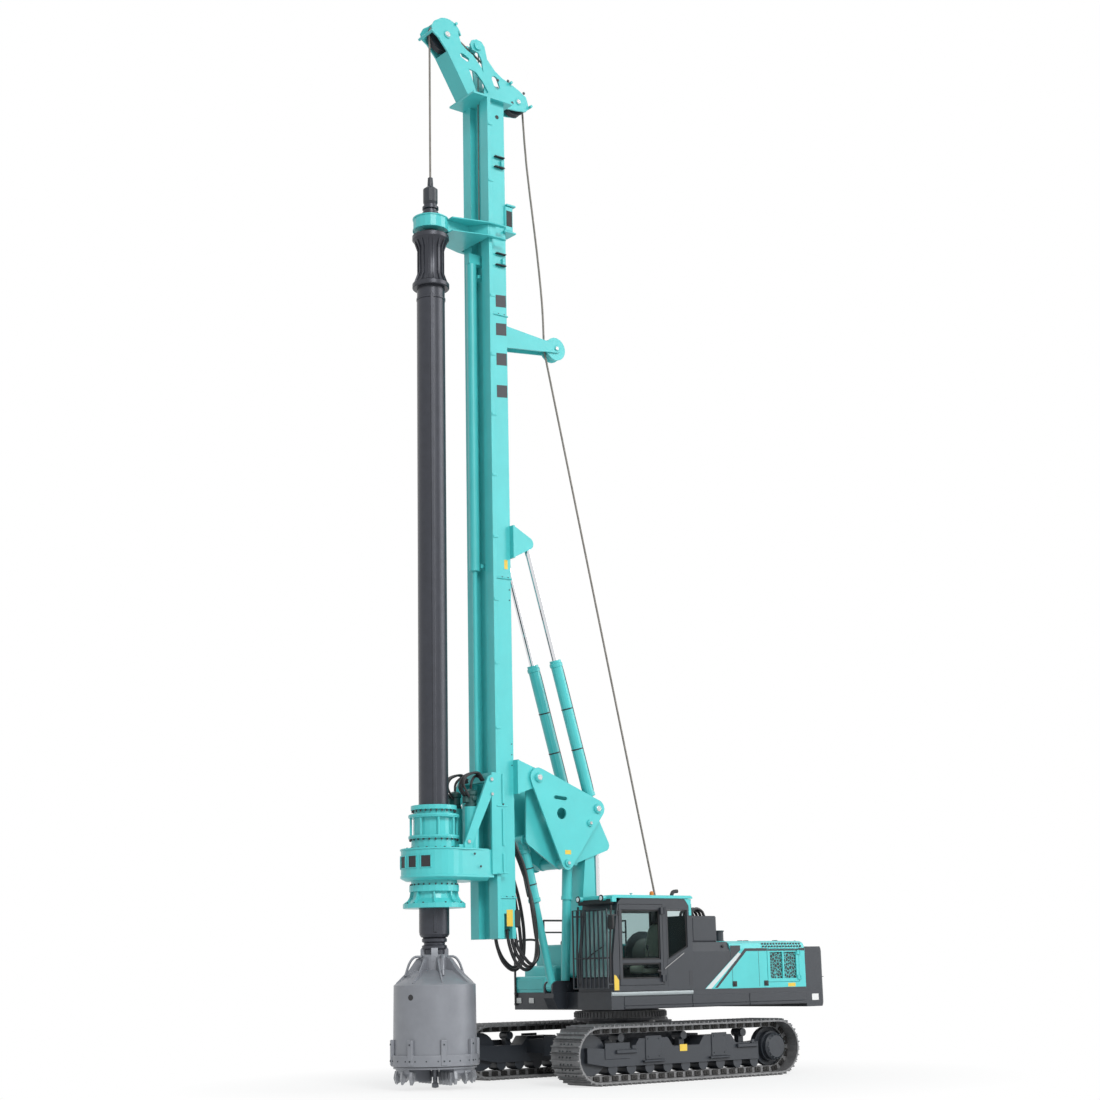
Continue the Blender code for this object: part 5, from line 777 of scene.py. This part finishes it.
side_mark(
    "cab_edge", ((-0.30, 3.262), (-0.46, 3.262), (-0.462, 2.96), (-0.40, 2.96), (-0.40, 3.14)), 1.6205, teal, "upper"
)
groove = [
    slab(at(-0.36, 1.619, 1.68), at(-0.44, 1.623, 1.95), 0.001),
    slab(at(0.16, 1.619, 1.66), at(0.170, 1.623, 3.12), 0.001)
]
build("cab_grooves", groove, dark_paint, "upper")
roof_parts = [slab(at(0.10, 0.80, 3.322), at(0.75, 1.42, 3.336), 0.006)]
roof_parts += [upright(0.9, 1.5, 3.32, ((0.012, 0), (0.012, 0.03), (0.03, 0.035), (0.03, 0.045)), 14)]
build("roof_hatch", roof_parts, teal, "upper")
beacon = upright(-0.20, 0.80, 3.325, ((0.05, 0), (0.05, 0.03), (0.042, 0.035), (0.040, 0.10), (0.02, 0.12)), 20)
amber = coat("amber_lens", (0.75, 0.22, 0.02), 0.15, mottle=0.05, scale=30, grain=0.02, edge=0)
build("beacon", [beacon], amber, "upper")

# Drive: the gearbox's rims, sloped underside and five ports, its bolts, and the sleeve's lips.
# Two motors have dark green heads and black hoses.
kelly_c = at(KELLY_X, 0, 0)
SLED_SIDE = 0.482


def gearbox_ring(radius, neck, z):
    """The gearbox's plan at a height: an arc about the kelly axis, closed by a straight back."""
    turn = np.radians(np.linspace(-99, 99, 34))
    arc = [(kelly_c[0] + radius * math.cos(t), radius * math.sin(t), z) for t in turn]
    back = at(3.36, 0, 0)[0]
    return [*arc, (back, neck, z), (back, -neck, z)]


rims = (
    ((0.600, 0.442, 4.150), (0.616, 0.452, 4.156), (0.616, 0.452, 4.178), (0.600, 0.442, 4.186)),
    ((0.52, 0.37, 3.612), (0.60, 0.44, 3.655), (0.612, 0.448, 3.668), (0.612, 0.448, 3.70), (0.601, 0.442, 3.71)),
)
skins = [stack([gearbox_ring(*ring) for ring in rim]) for rim in rims]
skins.append(upright(KELLY_X, 0, 3.53, ((0.418, 0), (0.418, 0.09)), 40))
build("gearbox_rims", skins, teal, "sled", 25)
ports, frames = [], []
for angle in (-62, -36, -10, 16, 42):
    spin = math.radians(angle)
    ports.append(turned(slab(kelly_c + (0.590, -0.085, 3.84), kelly_c + (0.606, 0.085, 4.04), 0.003), kelly_c, spin))
    for low, high in (
        ((0.588, -0.105, 4.04), (0.612, 0.105, 4.058)), ((0.588, -0.105, 3.822), (0.612, 0.105, 3.84)),
        ((0.588, -0.105, 3.84), (0.612, -0.085, 4.04)), ((0.588, 0.085, 3.84), (0.612, 0.105, 4.04))
    ):
        frames.append(turned(slab(kelly_c + low, kelly_c + high, 0.004), kelly_c, spin))
build("gearbox_ports", ports, rubber, "sled")
build("gearbox_port_frames", frames, teal, "sled", 25)
heads = bolts(round_z(at(KELLY_X, 0, 4.186), 0.52, 20, 0.1), UP, 0.020, 0.018)
rows = (3.80, 4.02, 4.40, 4.70, 5.00, 5.30, 5.50)
for y, way in ((SLED_SIDE, LEFT), (-SLED_SIDE, RIGHT)):
    heads += bolts([at(3.055, y, z) for z in rows], way, 0.018, 0.014)
heads += bolts([at(3.75, 0.543, 4.08), at(3.60, 0.52, 3.86)], LEFT, 0.022, 0.014)
build("gearbox_bolts", heads, dark_bolt, "sled", 20)
ring_bolts = bolts(round_z(at(KELLY_X, 0, 4.36), 0.435, 24), DOWN, 0.017, 0.035)
ring_bolts += bolts(round_z(at(KELLY_X, 0, 3.53), 0.428, 24), UP, 0.015, 0.03)
ring_bolts += bolts(round_z(at(KELLY_X, 0, 4.88), 0.395, 24, 0.06), DOWN, 0.016, 0.04)
ring_bolts += bolts(round_z(at(KELLY_X, 0, 3.21), 0.52, 16, 0.2), UP, 0.018, 0.022)
build("sleeve_bolts", ring_bolts, dark_bolt, "sleeve", 20)
ring = [upright(KELLY_X, 0, z, ((0.46, 0), (0.468, 0.004), (0.468, 0.016), (0.46, 0.02)), 48) for z in (4.76, 4.38)]
build("sleeve_lips", ring, teal, "sleeve", 25)
motors, lines = [], []
for side in (-1, 1):
    y = 0.26 * side
    motors.append(
        upright(
            3.62, y, 4.95,
            ((0.125, 0), (0.125, 0.05), (0.10, 0.06), (0.10, 0.20), (0.118, 0.22), (0.118, 0.28), (0.06, 0.32))
        )
    )
    motors.append(outward(3.62, y, 5.10, ((0.05, 0), (0.05, 0.12), (0.036, 0.13)), 16))
    motors.append(slab(at(3.66, y - 0.06, 5.02), at(3.78, y + 0.06, 5.14), 0.012))
    for off in (-0.05, 0.03, 0.09):
        lines.append(
            tube(
                [
                    at(3.72, y + off, 5.12), at(3.84, y + off, 5.24 + abs(off)), at(3.76, y + off * 0.8, 5.50),
                    at(3.50, y + off * 0.6, 5.58), at(3.36, y + off * 0.5, 5.44)
                ],
                0.022
            )
        )
    lines.append(
        tube([at(3.62, y, 5.28), at(3.60, y, 5.42), at(3.50, y * 0.9, 5.52), at(3.36, y * 0.8, 5.50)], 0.024)
    )
build("motor_heads", motors, motor_green, "sled")
build("motor_hoses", lines, hose_black, "sled")
caps, washers = [], []


def pin(x, y, z, radius, body_caps, body_rings):
    """A pin's bright end in a raised ring, facing out on the side that y is on."""
    sign = 1 if y > 0 else -1
    body_caps.append(outward(x, y, z, ((radius, 0), (radius, 0.014), (radius * 0.85, 0.02))))
    body_caps += bolts(
        [
            at(x + radius * 0.45 * math.cos(t), y + sign * 0.02, z + radius * 0.45 * math.sin(t))
            for t in (0.6, 2.7, 4.8)
        ],
        (0, sign, 0), radius * 0.13, 0.008
    )
    body_rings.append(
        outward(x, y, z, ((radius * 1.35, 0), (radius * 1.35, 0.008), (radius * 1.2, 0.012), (radius * 1.02, 0.012)))
    )


for side in (-1, 1):
    pin(3.31, SLED_SIDE * side, 5.45, 0.035, caps, washers)
    pin(3.83, SLED_SIDE * side, 4.30, 0.035, caps, washers)
    pin(3.30, SLED_SIDE * side, 5.18, 0.030, caps, washers)
build("sled_pins", caps, bright_pin, "sled", 20)
build("sled_pin_rings", washers, teal, "sled", 25)
strips = [
    slab(at(3.03, s * SLED_SIDE, z0), at(3.08, s * 0.500, z1), 0.004)
    for s in (-1, 1) for z0, z1 in ((3.74, 4.10), (4.24, 4.92), (5.02, 5.56))
]
strips += [
    slab(at(2.96, s * 0.455, z), at(3.20, s * 0.495, z + 0.03), 0.005)
    for s in (-1, 1) for z in (4.955, 3.735)
]
build("sled_strips", strips, teal, "sled", 25)

# Triangle and cylinders: bright pins in teal rings on the triangle, and on every barrel a gland at
# each end and a thin oil line in clips.
caps, washers = [], []
for x, z, y, radius in (
    (2.25, 5.53, 0.556, 0.055),
    (0.85, 5.00, 0.556, 0.055),
    (1.60, 3.96, 0.556, 0.032),
    (1.05, 4.72, 0.556, 0.030),
):
    for side in (-1, 1):
        pin(x, y * side, z, radius, caps, washers)
build("triangle_pins", caps, bright_pin, "triangle", 20)
build("triangle_pin_rings", washers, teal, "triangle", 25)


def barrel_trim(name, body, low, high, radius, y):
    """A gland nut at each end of a barrel, and a thin oil line held by two clips."""
    low, high = at(low[0], y, low[1]), at(high[0], y, high[1])
    way = (high - low) / np.linalg.norm(high - low)
    length = np.linalg.norm(high - low)
    back = np.cross(way, (0, 1, 0))
    collar = [(radius * 0.99, 0), (radius * 1.13, 0.01), (radius * 1.13, 0.07), (radius * 0.99, 0.085)]
    gland = lathe(high - way * 0.09, high, collar, 28, True)
    foot = lathe(low, high, collar, 28, True)
    build(name + "_glands", [gland, foot], teal, body, 25)
    off = back * (radius + 0.03)
    line = [
        low + way * 0.15 + back * radius, low + way * 0.17 + off, low + way * length * 0.5 + off,
        high - way * 0.17 + off, high - way * 0.15 + back * radius
    ]
    clips = [tube(line, 0.013, 8, 4)]
    for share in (0.35, 0.65):
        place = low + way * length * share
        clips.append(
            lathe(
                place, place + way,
                ((radius * 0.99, 0), (radius * 1.05, 0.002), (radius * 1.05, 0.022), (radius * 0.99, 0.024)), 28, True
            )
        )
    build(name + "_line", clips, hose_black, body)


tilt_foot, strut_head = np.array((0.85, 5.00)), np.array((2.28, 4.39))
tilt = np.array((2.34, 10.04)) - tilt_foot
tilt = tilt / np.linalg.norm(tilt)
for name, y in (("left_tilt", 0.36), ("right_tilt", -0.36)):
    barrel_trim(name, "tilt_barrels", tilt_foot + tilt * 0.25, tilt_foot + tilt * 2.90, 0.11, y)
barrel_trim("luff", "luff_barrel", (0.50, 1.98), (0.50, 3.36), 0.11, 0)
strut = np.array((1.62, 1.70)) - strut_head
strut = strut / np.linalg.norm(strut)
barrel_trim("strut", "strut_barrel", strut_head + strut * 0.16, strut_head + strut * 1.18, 0.105, 0)

# Mast: joint flanges with bolts, brackets, dark blank plates, painted shadows at the side lugs and a painted-shade
# disc for a side hole, the hose loops at its foot and oil lines with clamps up its back. The head has bright
# pins in rings and small spacers.
flanges = []
for z in (3.30, 9.30, 14.62):
    flanges += [slab(at(2.675, s * 0.331, z), at(3.12, s * 0.352, z + 0.028), 0.005) for s in (-1, 1)]
    flanges.append(slab(at(2.664, -0.345, z), at(2.689, 0.345, z + 0.028), 0.005))
for z in (15.70, 17.80):
    flanges += [slab(at(2.72, s * 0.331, z), at(2.80, s * 0.375, z + 0.14), 0.012) for s in (-1, 1)]
flanges.append(slab(at(2.52, 0.10, 16.44), at(2.72, 0.37, 16.98), 0.02))
flanges.append(slab(at(2.47, 0.08, 16.40), at(2.76, 0.40, 16.44)))
flanges.append(slab(at(2.47, 0.08, 16.98), at(2.70, 0.40, 17.02)))
for z in np.arange(6.4, 18.6, 1.22):
    flanges += [slab(at(3.05, s * 0.431, z), at(3.16, s * 0.446, z + 0.05), 0.005) for s in (-1, 1)]
build("mast_flanges", flanges, teal, "mast", 25)
heads = []
for z in (3.314, 9.314, 14.634):
    heads += bolts([at(x, y, z + 0.014) for x in (2.76, 2.90, 3.04) for y in (0.345, -0.345)], UP, 0.014, 0.014)
for z in (5.75, 5.95, 6.15, 8.9, 9.1):
    heads += bolts([at(2.73, 0.331, z)], LEFT, 0.012, 0.012)
build("mast_bolts", heads, dark_bolt, "mast", 20)
plates = [
    slab(at(2.72, 0.345, 2.78), at(2.585, 0.20, 3.10), 0.018),
    slab(at(3.02, 0.331, 2.86), at(3.06, 0.336, 3.02), 0.002)
]
plates.append(slab(at(2.55, 0.371, 16.55), at(2.69, 0.376, 16.88), 0.002))
# thin dark strips just under and over each side lug: painted shadows of the lugs
plates += [slab(at(2.72, 0.331, z), at(2.96, 0.40, z + 0.025), 0.006) for z in (15.66, 15.90, 17.76, 17.98)]
# dark disc on the side: painted shade for a hole through the mast's side
plates.append(outward(2.86, 0.329, 18.88, ((0.042, 0), (0.042, 0.005)), 20))
plates += [slab(at(2.62, -0.10, z), at(2.689, 0.10, z + 0.20), 0.01) for z in (7.2, 8.4)]
build("mast_dark_plates", plates, rubber, "mast")
side_mark("foot_label", oblong(2.76, 2.80, 2.90, 3.10), MAST_SIDE, yellow_label, "mast")
loops = []
for index, y in enumerate((0.19, 0.24, 0.29, -0.20, -0.26)):
    low = 0.05 * (index % 3)
    loops.append(
        tube(
            [
                at(2.80 - low, y, 2.75), at(2.74 - low, y, 2.45), at(2.60 - low, y, 2.16 + low),
                at(2.36 - low * 0.5, y, 2.02 + low), at(2.16, y, 2.20 + low), at(2.12 + low, y, 2.70),
                at(2.22 + low, y, 3.30), at(2.44, y * 0.9, 3.90), at(2.65, y * 0.8, 4.35)
            ],
            0.032, 12
        )
    )
build("mast_hoses", loops, hose_black, "mast")
lines = []
for index in range(4):
    y = -0.24 + 0.05 * index
    lines.append(tube([at(2.672, y, 4.6), at(2.670, y, 8.0), at(2.670, y, 12.0), at(2.672, y, 15.6)], 0.014, 8, 0))
build("mast_lines", lines, hose_black, "mast")
clamps = [slab(at(2.652, -0.27, z), at(2.689, -0.06, z + 0.06), 0.006) for z in np.arange(5.0, 15.6, 1.05)]
build("mast_clamps", clamps, teal, "mast", 25)
caps, washers = [], []
for x, z, y, radius in (
    (3.98, 20.42, 0.221, 0.06),
    (2.20, 19.47, 0.187, 0.05),
    (3.22, 20.41, 0.187, 0.03),
    (1.30, 14.30, 0.141, 0.04),
):
    for side in (-1, 1):
        pin(x, y * side, z, radius, caps, washers)
spacers = []
for x, z in ((3.86, 20.06), (3.62, 20.30), (3.30, 19.86), (2.72, 19.80), (2.46, 19.86), (2.36, 19.40), (2.06, 19.70)):
    for side in (-1, 1):
        spacers.append(outward(x, 0.184 * side, z, ((0.030, 0), (0.030, 0.012), (0.022, 0.018)), 14))
build("head_spacers", spacers, dark_bolt, "mast", 25)
build("head_pins", caps, bright_pin, "mast", 20)
build("head_pin_rings", washers, teal, "mast", 25)

# Kelly bar: a smooth tube, 540 mm, with three long keys and a waisted head, in blackened steel.
# It stands for the solid kelly bar.
kelly_profile = (
    (0.05, 2.30), (0.19, 2.30), (0.19, 2.40), (0.225, 2.42), (0.225, 2.47), (0.19, 2.49), (0.19, 2.52), (0.225, 2.54),
    (0.225, 2.59), (0.20, 2.61), (0.24, 2.62), (0.27, 2.67), (0.27, 14.97), (0.345, 14.97), (0.36, 14.985),
    (0.36, 15.06), (0.30, 15.10), (0.243, 15.24), (0.243, 15.80), (0.30, 15.92), (0.36, 15.98), (0.36, 16.055),
    (0.345, 16.07), (0.13, 16.07), (0.13, 16.72)
)
parts = [upright(KELLY_X, 0, 0, kelly_profile, 64)]
parts += [
    turned(slab(kelly_c + (0.262, -0.032, 2.70), kelly_c + (0.295, 0.032, 14.80)), kelly_c, math.radians(a))
    for a in (60, 180, 300)
]
piece = build("kelly_tube", parts, kelly_black, "kelly", 30)
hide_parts("kelly_bar")

# Bucket: a rolled shell on a thick ring with bolted wear bars, a ribbed cone and a hub with lugs.
# It stands for the solid bucket, so it also has the two lugs that carry the flap.
def fin(section, half):
    """A flat rib of (radius, height) points, standing out from the kelly axis along X."""
    return sheet([(kelly_c[0] + r, z) for r, z in section], 1, -half, half)


shell_profile = (
    (0.02, 1.98), (0.40, 1.98), (0.70, 1.76), (0.70, 0.405), (0.775, 0.405), (0.785, 0.415), (0.785, 0.585),
    (0.775, 0.60), (0.742, 0.60), (0.732, 1.785), (0.718, 1.80), (0.40, 2.03), (0.25, 2.05), (0.25, 2.30),
    (0.235, 2.315), (0.02, 2.315)
)
parts = [upright(KELLY_X, 0, 0, shell_profile, 96)]
rivets = []
for index in range(8):
    t = math.pi / 4 * index + math.pi / 8
    rib = fin(((0.24, 2.02), (0.69, 1.812), (0.70, 1.83), (0.46, 2.06), (0.33, 2.24), (0.24, 2.28)), 0.015)
    parts.append(turned(rib, kelly_c, t))
    bar = slab(kelly_c + (0.735, -0.055, 0.425), kelly_c + (0.80, 0.055, 0.86), 0.012)
    parts.append(turned(bar, kelly_c, t))
    out = np.array((math.cos(t), math.sin(t), 0))
    rivets += bolts([kelly_c + out * 0.80 + (0, 0, z) for z in (0.50, 0.78)], out, 0.016, 0.012)
for t in np.arange(0, 360, 15):
    out = np.array((math.cos(math.radians(t)), math.sin(math.radians(t)), 0))
    rivets += bolts([kelly_c + out * 0.783 + (0, 0, 0.50)], out, 0.013, 0.010)
for a in (56, 146, 236, 326):
    t = math.radians(a)
    lug = fin(
        ((0.13, 2.20), (0.25, 2.20), (0.25, 2.40), (0.235, 2.43), (0.205, 2.44), (0.15, 2.44), (0.13, 2.42)), 0.06
    )
    parts.append(turned(lug, kelly_c, t))
    arch = tube(
        [
            kelly_c + (0.23, 0.12, 2.28), kelly_c + (0.36, 0.14, 2.27), kelly_c + (0.45, 0.15, 2.16),
            kelly_c + (0.52, 0.15, 1.95)
        ],
        0.022, 10, 5
    )
    parts.append(turned(arch, kelly_c, t))
# hinge lugs: an eye 60 mm across round the flap's pin and a web up to the ring, each 30 mm thick
hinge = np.array((-0.827, 0.3697))
up_lug = np.array((0.6234, 0.7819))
across_lug = np.array((-0.7819, 0.6234))
for low in (0.08, -0.11):
    eye_start = kelly_c + (low, *hinge)
    parts.append(lathe(eye_start, eye_start + (0.03, 0, 0), oblong(0.0156, 0, 0.03, 0.03), 24, True))
    web = [(0.018, 0.024), (0.04, 0.03), (0.1255, 0.03), (0.1255, -0.03), (0.04, -0.03), (0.018, -0.024)]
    web = [hinge + up_lug * along + across_lug * off for along, off in web]
    parts.append(sheet(web, 0, kelly_c[0] + low, kelly_c[0] + low + 0.03))
piece = build("bucket_shell", parts, bucket_grey, "kelly", 30)
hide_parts("bucket")
# the vent is a thin near-black disc on the shell: painted shade for its hole
vent = math.radians(21)
out = np.array((math.cos(vent), math.sin(vent), 0))
build(
    "bucket_vent",
    [lathe(kelly_c + out * 0.728 + (0, 0, 1.58), kelly_c + out + (0, 0, 1.58), ((0.052, 0), (0.052, 0.0075)))],
    hose_black, "kelly"
)
build("bucket_bolts", rivets, dark_bolt, "kelly", 20)


# Cutter plate under the bucket: two curved blades with bright teeth, a pilot point and the hinge's
# knuckle and pin. It stands for the solid flap.
def blade(first, last, section):
    """A closed (radius, height) section swept round the bucket's axis between two angles."""
    rings = []
    for t in np.radians(np.linspace(first, last, 25)):
        rings.append([kelly_c + (r * math.cos(t), r * math.sin(t), z) for r, z in section])
    return stack(rings)


section = ((0.15, 0.37), (0.70, 0.37), (0.69, 0.29), (0.60, 0.20), (0.42, 0.145), (0.15, 0.13))
parts = [upright(KELLY_X, 0, 0, ((0.03, 0.36), (0.735, 0.36), (0.74, 0.366), (0.74, 0.396), (0.03, 0.396)), 64)]
teeth = []
for middle in (146, 326):
    parts.append(blade(middle - 62, middle + 50, section))
    for step in range(7):
        t = math.radians(middle - 60 + 19 * step)
        tooth = fin(((0.60, 0.30), (0.71, 0.32), (0.735, 0.20), (0.70, 0.10), (0.64, 0.16)), 0.028)
        teeth.append(turned(tooth, kelly_c, t))
    for step in range(4):
        t = math.radians(middle - 64)
        r = 0.22 + 0.13 * step
        claw = sheet(
            [
                (kelly_c[0] + r + dx, z)
                for dx, z in ((-0.045, 0.30), (0.045, 0.30), (0.03, 0.14), (0.0, 0.085), (-0.03, 0.14))
            ],
            1, -0.03, 0.03
        )
        teeth.append(turned(claw, kelly_c, t))
pilot = upright(
    KELLY_X, 0, 0,
    ((0.02, 0.018), (0.06, 0.03), (0.06, 0.10), (0.042, 0.11), (0.042, 0.20), (0.065, 0.21), (0.065, 0.36)), 20
)
hinge_pin = lathe(kelly_c + (-0.12, *hinge), kelly_c + (0.12, *hinge), ((0.015, 0), (0.015, 0.24)))
parts += [pilot, hinge_pin, slab(kelly_c + (-0.074, -0.855, 0.30), kelly_c + (0.074, -0.70, 0.398), 0.015)]
piece = build("cutter_plate", parts, bucket_grey, "flap", 30)
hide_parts("bucket_flap")
build("cutter_teeth", teeth, tooth_steel, "flap", 25)

# Kelly head and guide: sixteen ribs round the waisted head, the guide's two forked plates with rims
# and bolts, and dark collars on the bar.
ribs = []
for index in range(16):
    rib = fin(((0.24, 15.08), (0.335, 15.08), (0.268, 15.27), (0.268, 15.77), (0.335, 15.97), (0.24, 15.97)), 0.012)
    ribs.append(turned(rib, kelly_c, math.tau * index / 16))
build("kelly_head_ribs", ribs, kelly_black, "kelly", 25)
fork = [
    (2.86, 0.46), (3.22, 0.46), (3.22, -0.46), (2.86, -0.46), (2.80, -0.50), (2.86, -0.56), (3.25, -0.54),
    (3.98, -0.34), (3.98, 0.34), (3.25, 0.54), (2.86, 0.56), (2.80, 0.50)
]
fork = np.array(fork) + (SLEW_X, 0)
rims = [
    upright(KELLY_X, 0, 0, ((0.335, z0), (0.352, z0 + 0.004), (0.352, z0 + 0.026), (0.335, z0 + 0.03)), 48, True)
    for z0 in (16.165, 16.400)
]
build(
    "guide_plates", [sheet(fork, 2, 16.422, 16.445), sheet(fork, 2, 16.150, 16.168)] + rims, teal, "hoist",
    25
)
guide_bolts = bolts(
    [
        at(x, y, 16.445)
        for x, y in ((2.90, 0.51), (3.10, 0.51), (3.60, 0.36), (2.90, -0.51), (3.10, -0.51), (3.60, -0.36))
    ],
    UP, 0.018, 0.016
)
build("guide_bolts", guide_bolts, dark_bolt, "hoist", 20)
collars = [upright(KELLY_X, 0, 14.72, ((0.27, 0), (0.283, 0.006), (0.283, 0.044), (0.27, 0.05)), 48)]
collars += [upright(KELLY_X, 0, z, ((0.13, 0), (0.16, 0.01), (0.16, 0.06), (0.13, 0.07)), 32) for z in (16.50, 16.62)]
build("kelly_collars", collars, kelly_black, "kelly", 25)

# Tracks: chain links and their pins inside the shoes, eight bolts a shoe, steps, cover plates and
# blank labels. The slewing ring gets its row of teeth.
track_z = 0.52
chain_steel = coat("chain_steel", (0.035, 0.034, 0.033), 0.5, 0.5, mottle=0.3, scale=12, grain=0.4, edge=0)
idler_x, drive_x = 2.185, -2.185
straight = idler_x - drive_x
SHOES, CHAIN_R, SHOE_R = 52, 0.405, 0.485


def on_loop(distance, radius):
    """A place on a racetrack loop and the outward angle there: two straights and two half circles."""
    arc = math.pi * radius
    total = 2 * straight + 2 * arc
    distance %= total
    if distance < straight:
        return drive_x + distance, track_z + radius, math.pi / 2
    distance -= straight
    if distance < arc:
        angle = math.pi / 2 - distance / radius
        return idler_x + radius * math.cos(angle), track_z + radius * math.sin(angle), angle
    distance -= arc
    if distance < straight:
        return idler_x - distance, track_z - radius, -math.pi / 2
    angle = -math.pi / 2 - (distance - straight) / radius
    return drive_x + radius * math.cos(angle), track_z + radius * math.sin(angle), angle


for side, name in ((1, "left"), (-1, "right")):
    body = name + "_track"
    y = 1.68 * side
    links, heads = [], []
    total = 2 * straight + 2 * math.pi * CHAIN_R
    for index in range(SHOES):
        x, z, angle = on_loop(total * (index + 0.5) / SHOES, CHAIN_R)
        centre = at(x, y, z)
        for off in (-0.131, 0.131):
            link = slab(centre + (-0.040, off - 0.014, -0.072), centre + (0.048, off + 0.014, 0.072), 0.010)
            links.append(turned(link, centre, angle, 2))
        heads.append(lathe(centre - (0, 0.155, 0), centre + (0, 0.155, 0), ((0.020, 0), (0.020, 0.31)), 8))
    build(body + "_chain", links + heads, chain_steel, body, 30)
    studs = []
    for index in range(SHOES):
        for share in (0.25, 0.70):
            x, z, angle = on_loop((2 * straight + 2 * math.pi * SHOE_R) * (index + share) / SHOES, SHOE_R)
            out_way = (math.cos(angle), 0, math.sin(angle))
            places = [at(x, y + off, z) for off in (-0.15, -0.06, 0.06, 0.15)]
            studs += bolts(places, out_way, 0.016, 0.016)
    build(body + "_shoe_bolts", studs, dark_bolt, body, 20)
    out = 1.872 * side
    plates = [
        slab(at(1.20, out, 0.53), at(1.68, out + 0.05 * side, 0.60), 0.012),
        slab(at(1.22, out, 0.60), at(1.30, out + 0.02 * side, 0.67), 0.006)
    ]
    plates += [
        slab(at(-1.77, out, 0.53), at(-1.25, out + 0.05 * side, 0.60), 0.012),
        slab(at(-1.70, out, 0.60), at(-1.62, out + 0.02 * side, 0.67), 0.006)
    ]
    plates += [slab(at(x, out, 0.36), at(x + 0.50, out + 0.06 * side, 0.40), 0.010) for x in (0.55, -1.05)]
    plates += [slab(at(x, out, 0.40), at(x + 0.38, out + 0.012 * side, 0.82), 0.010) for x in (0.60, -1.00)]
    plates.append(slab(at(1.35, out, 0.44), at(1.92, out + 0.010 * side, 0.72)))
    build(body + "_fittings", plates, charcoal, body, 25)
    cap_bolts = bolts(
        [
            at(drive_x + 0.225 * math.cos(t), 1.98 * side, track_z + 0.225 * math.sin(t))
            for t in np.linspace(0, 2 * np.pi, 16, endpoint=False)
        ],
        (0, side, 0), 0.014, 0.010
    )
    cap_bolts += bolts(
        [at(x, out + 0.012 * side, z) for x in (0.66, 0.92, -0.94, -0.68) for z in (0.46, 0.76)], (0, side, 0), 0.014,
        0.010
    )
    build(body + "_bolts", cap_bolts, dark_bolt, body, 20)
    outline = oblong(0.16, 0.52, -0.02, 0.64)
    side_mark(body + "_label", outline, out if side > 0 else out - 0.002, yellow_label, body)
teeth = []
TEETH, slew_c = 72, at(0, 0, 0)
for index in range(TEETH):
    tooth = slab(slew_c + (0.86, -0.016, 1.12), slew_c + (0.89, 0.016, 1.215), 0.006)
    teeth.append(turned(tooth, slew_c, 2 * math.pi * index / TEETH))
build("slew_teeth", teeth, track_steel, "undercarriage", 30)

# Back and top of the house: ballast seams, two lifting eyes and a rail, red tail lamps, and the
# hood's lids with their catches and a grid.
seams = [slab(at(-3.984, -1.46, 1.78), at(-3.990, 1.54, 1.79), 0.001)]
seams += [slab(at(-3.984, y, 1.30), at(-3.990, y + 0.01, 2.30), 0.001) for y in (-0.50, 0.58)]
build("ballast_seams", seams, dark_paint, "upper")
eyes = []
for y in (-0.95, 1.03):
    eyes.append(
        tube(
            [at(-3.80, y, 2.36), at(-3.80, y, 2.44), at(-3.74, y, 2.48), at(-3.68, y, 2.44), at(-3.68, y, 2.36)],
            0.018
        )
    )
rail = [
    at(x, -1.30, z)
    for x, z in ((-3.40, 2.40), (-3.40, 2.78), (-3.30, 2.86), (-2.10, 2.86), (-1.98, 2.78), (-1.98, 2.44))
]
eyes.append(tube(rail, 0.017, 10, 5))
build("hood_rails", eyes, rubber, "upper")
red = coat("tail_lens", (0.5, 0.02, 0.02), 0.2, mottle=0.05, scale=30, grain=0.02, edge=0)
build(
    "tail_lamps", [slab(at(-3.986, y, 2.02), at(-4.0, y + 0.16, 2.10), 0.006) for y in (-1.34, 1.26)], red, "upper",
)
tops = [slab(at(x, -1.10, 2.478), at(x + 0.85, 1.16, 2.492), 0.006) for x in (-3.38, -2.42)]
build("hood_lids", tops, teal, "upper", 25)
lid_bits = [
    slab(at(x, y, 2.49), at(x + 0.03, y + 0.14, 2.51), 0.006)
    for x in (-3.36, -2.56, -2.40, -1.60) for y in (-0.8, 0.0, 0.8)
]
grid = [slab(at(-2.35 + 0.055 * i, -0.45, 2.492), at(-2.32 + 0.055 * i, 0.45, 2.50), 0.003) for i in range(13)]
build("hood_grid", lid_bits + grid, rubber, "upper")
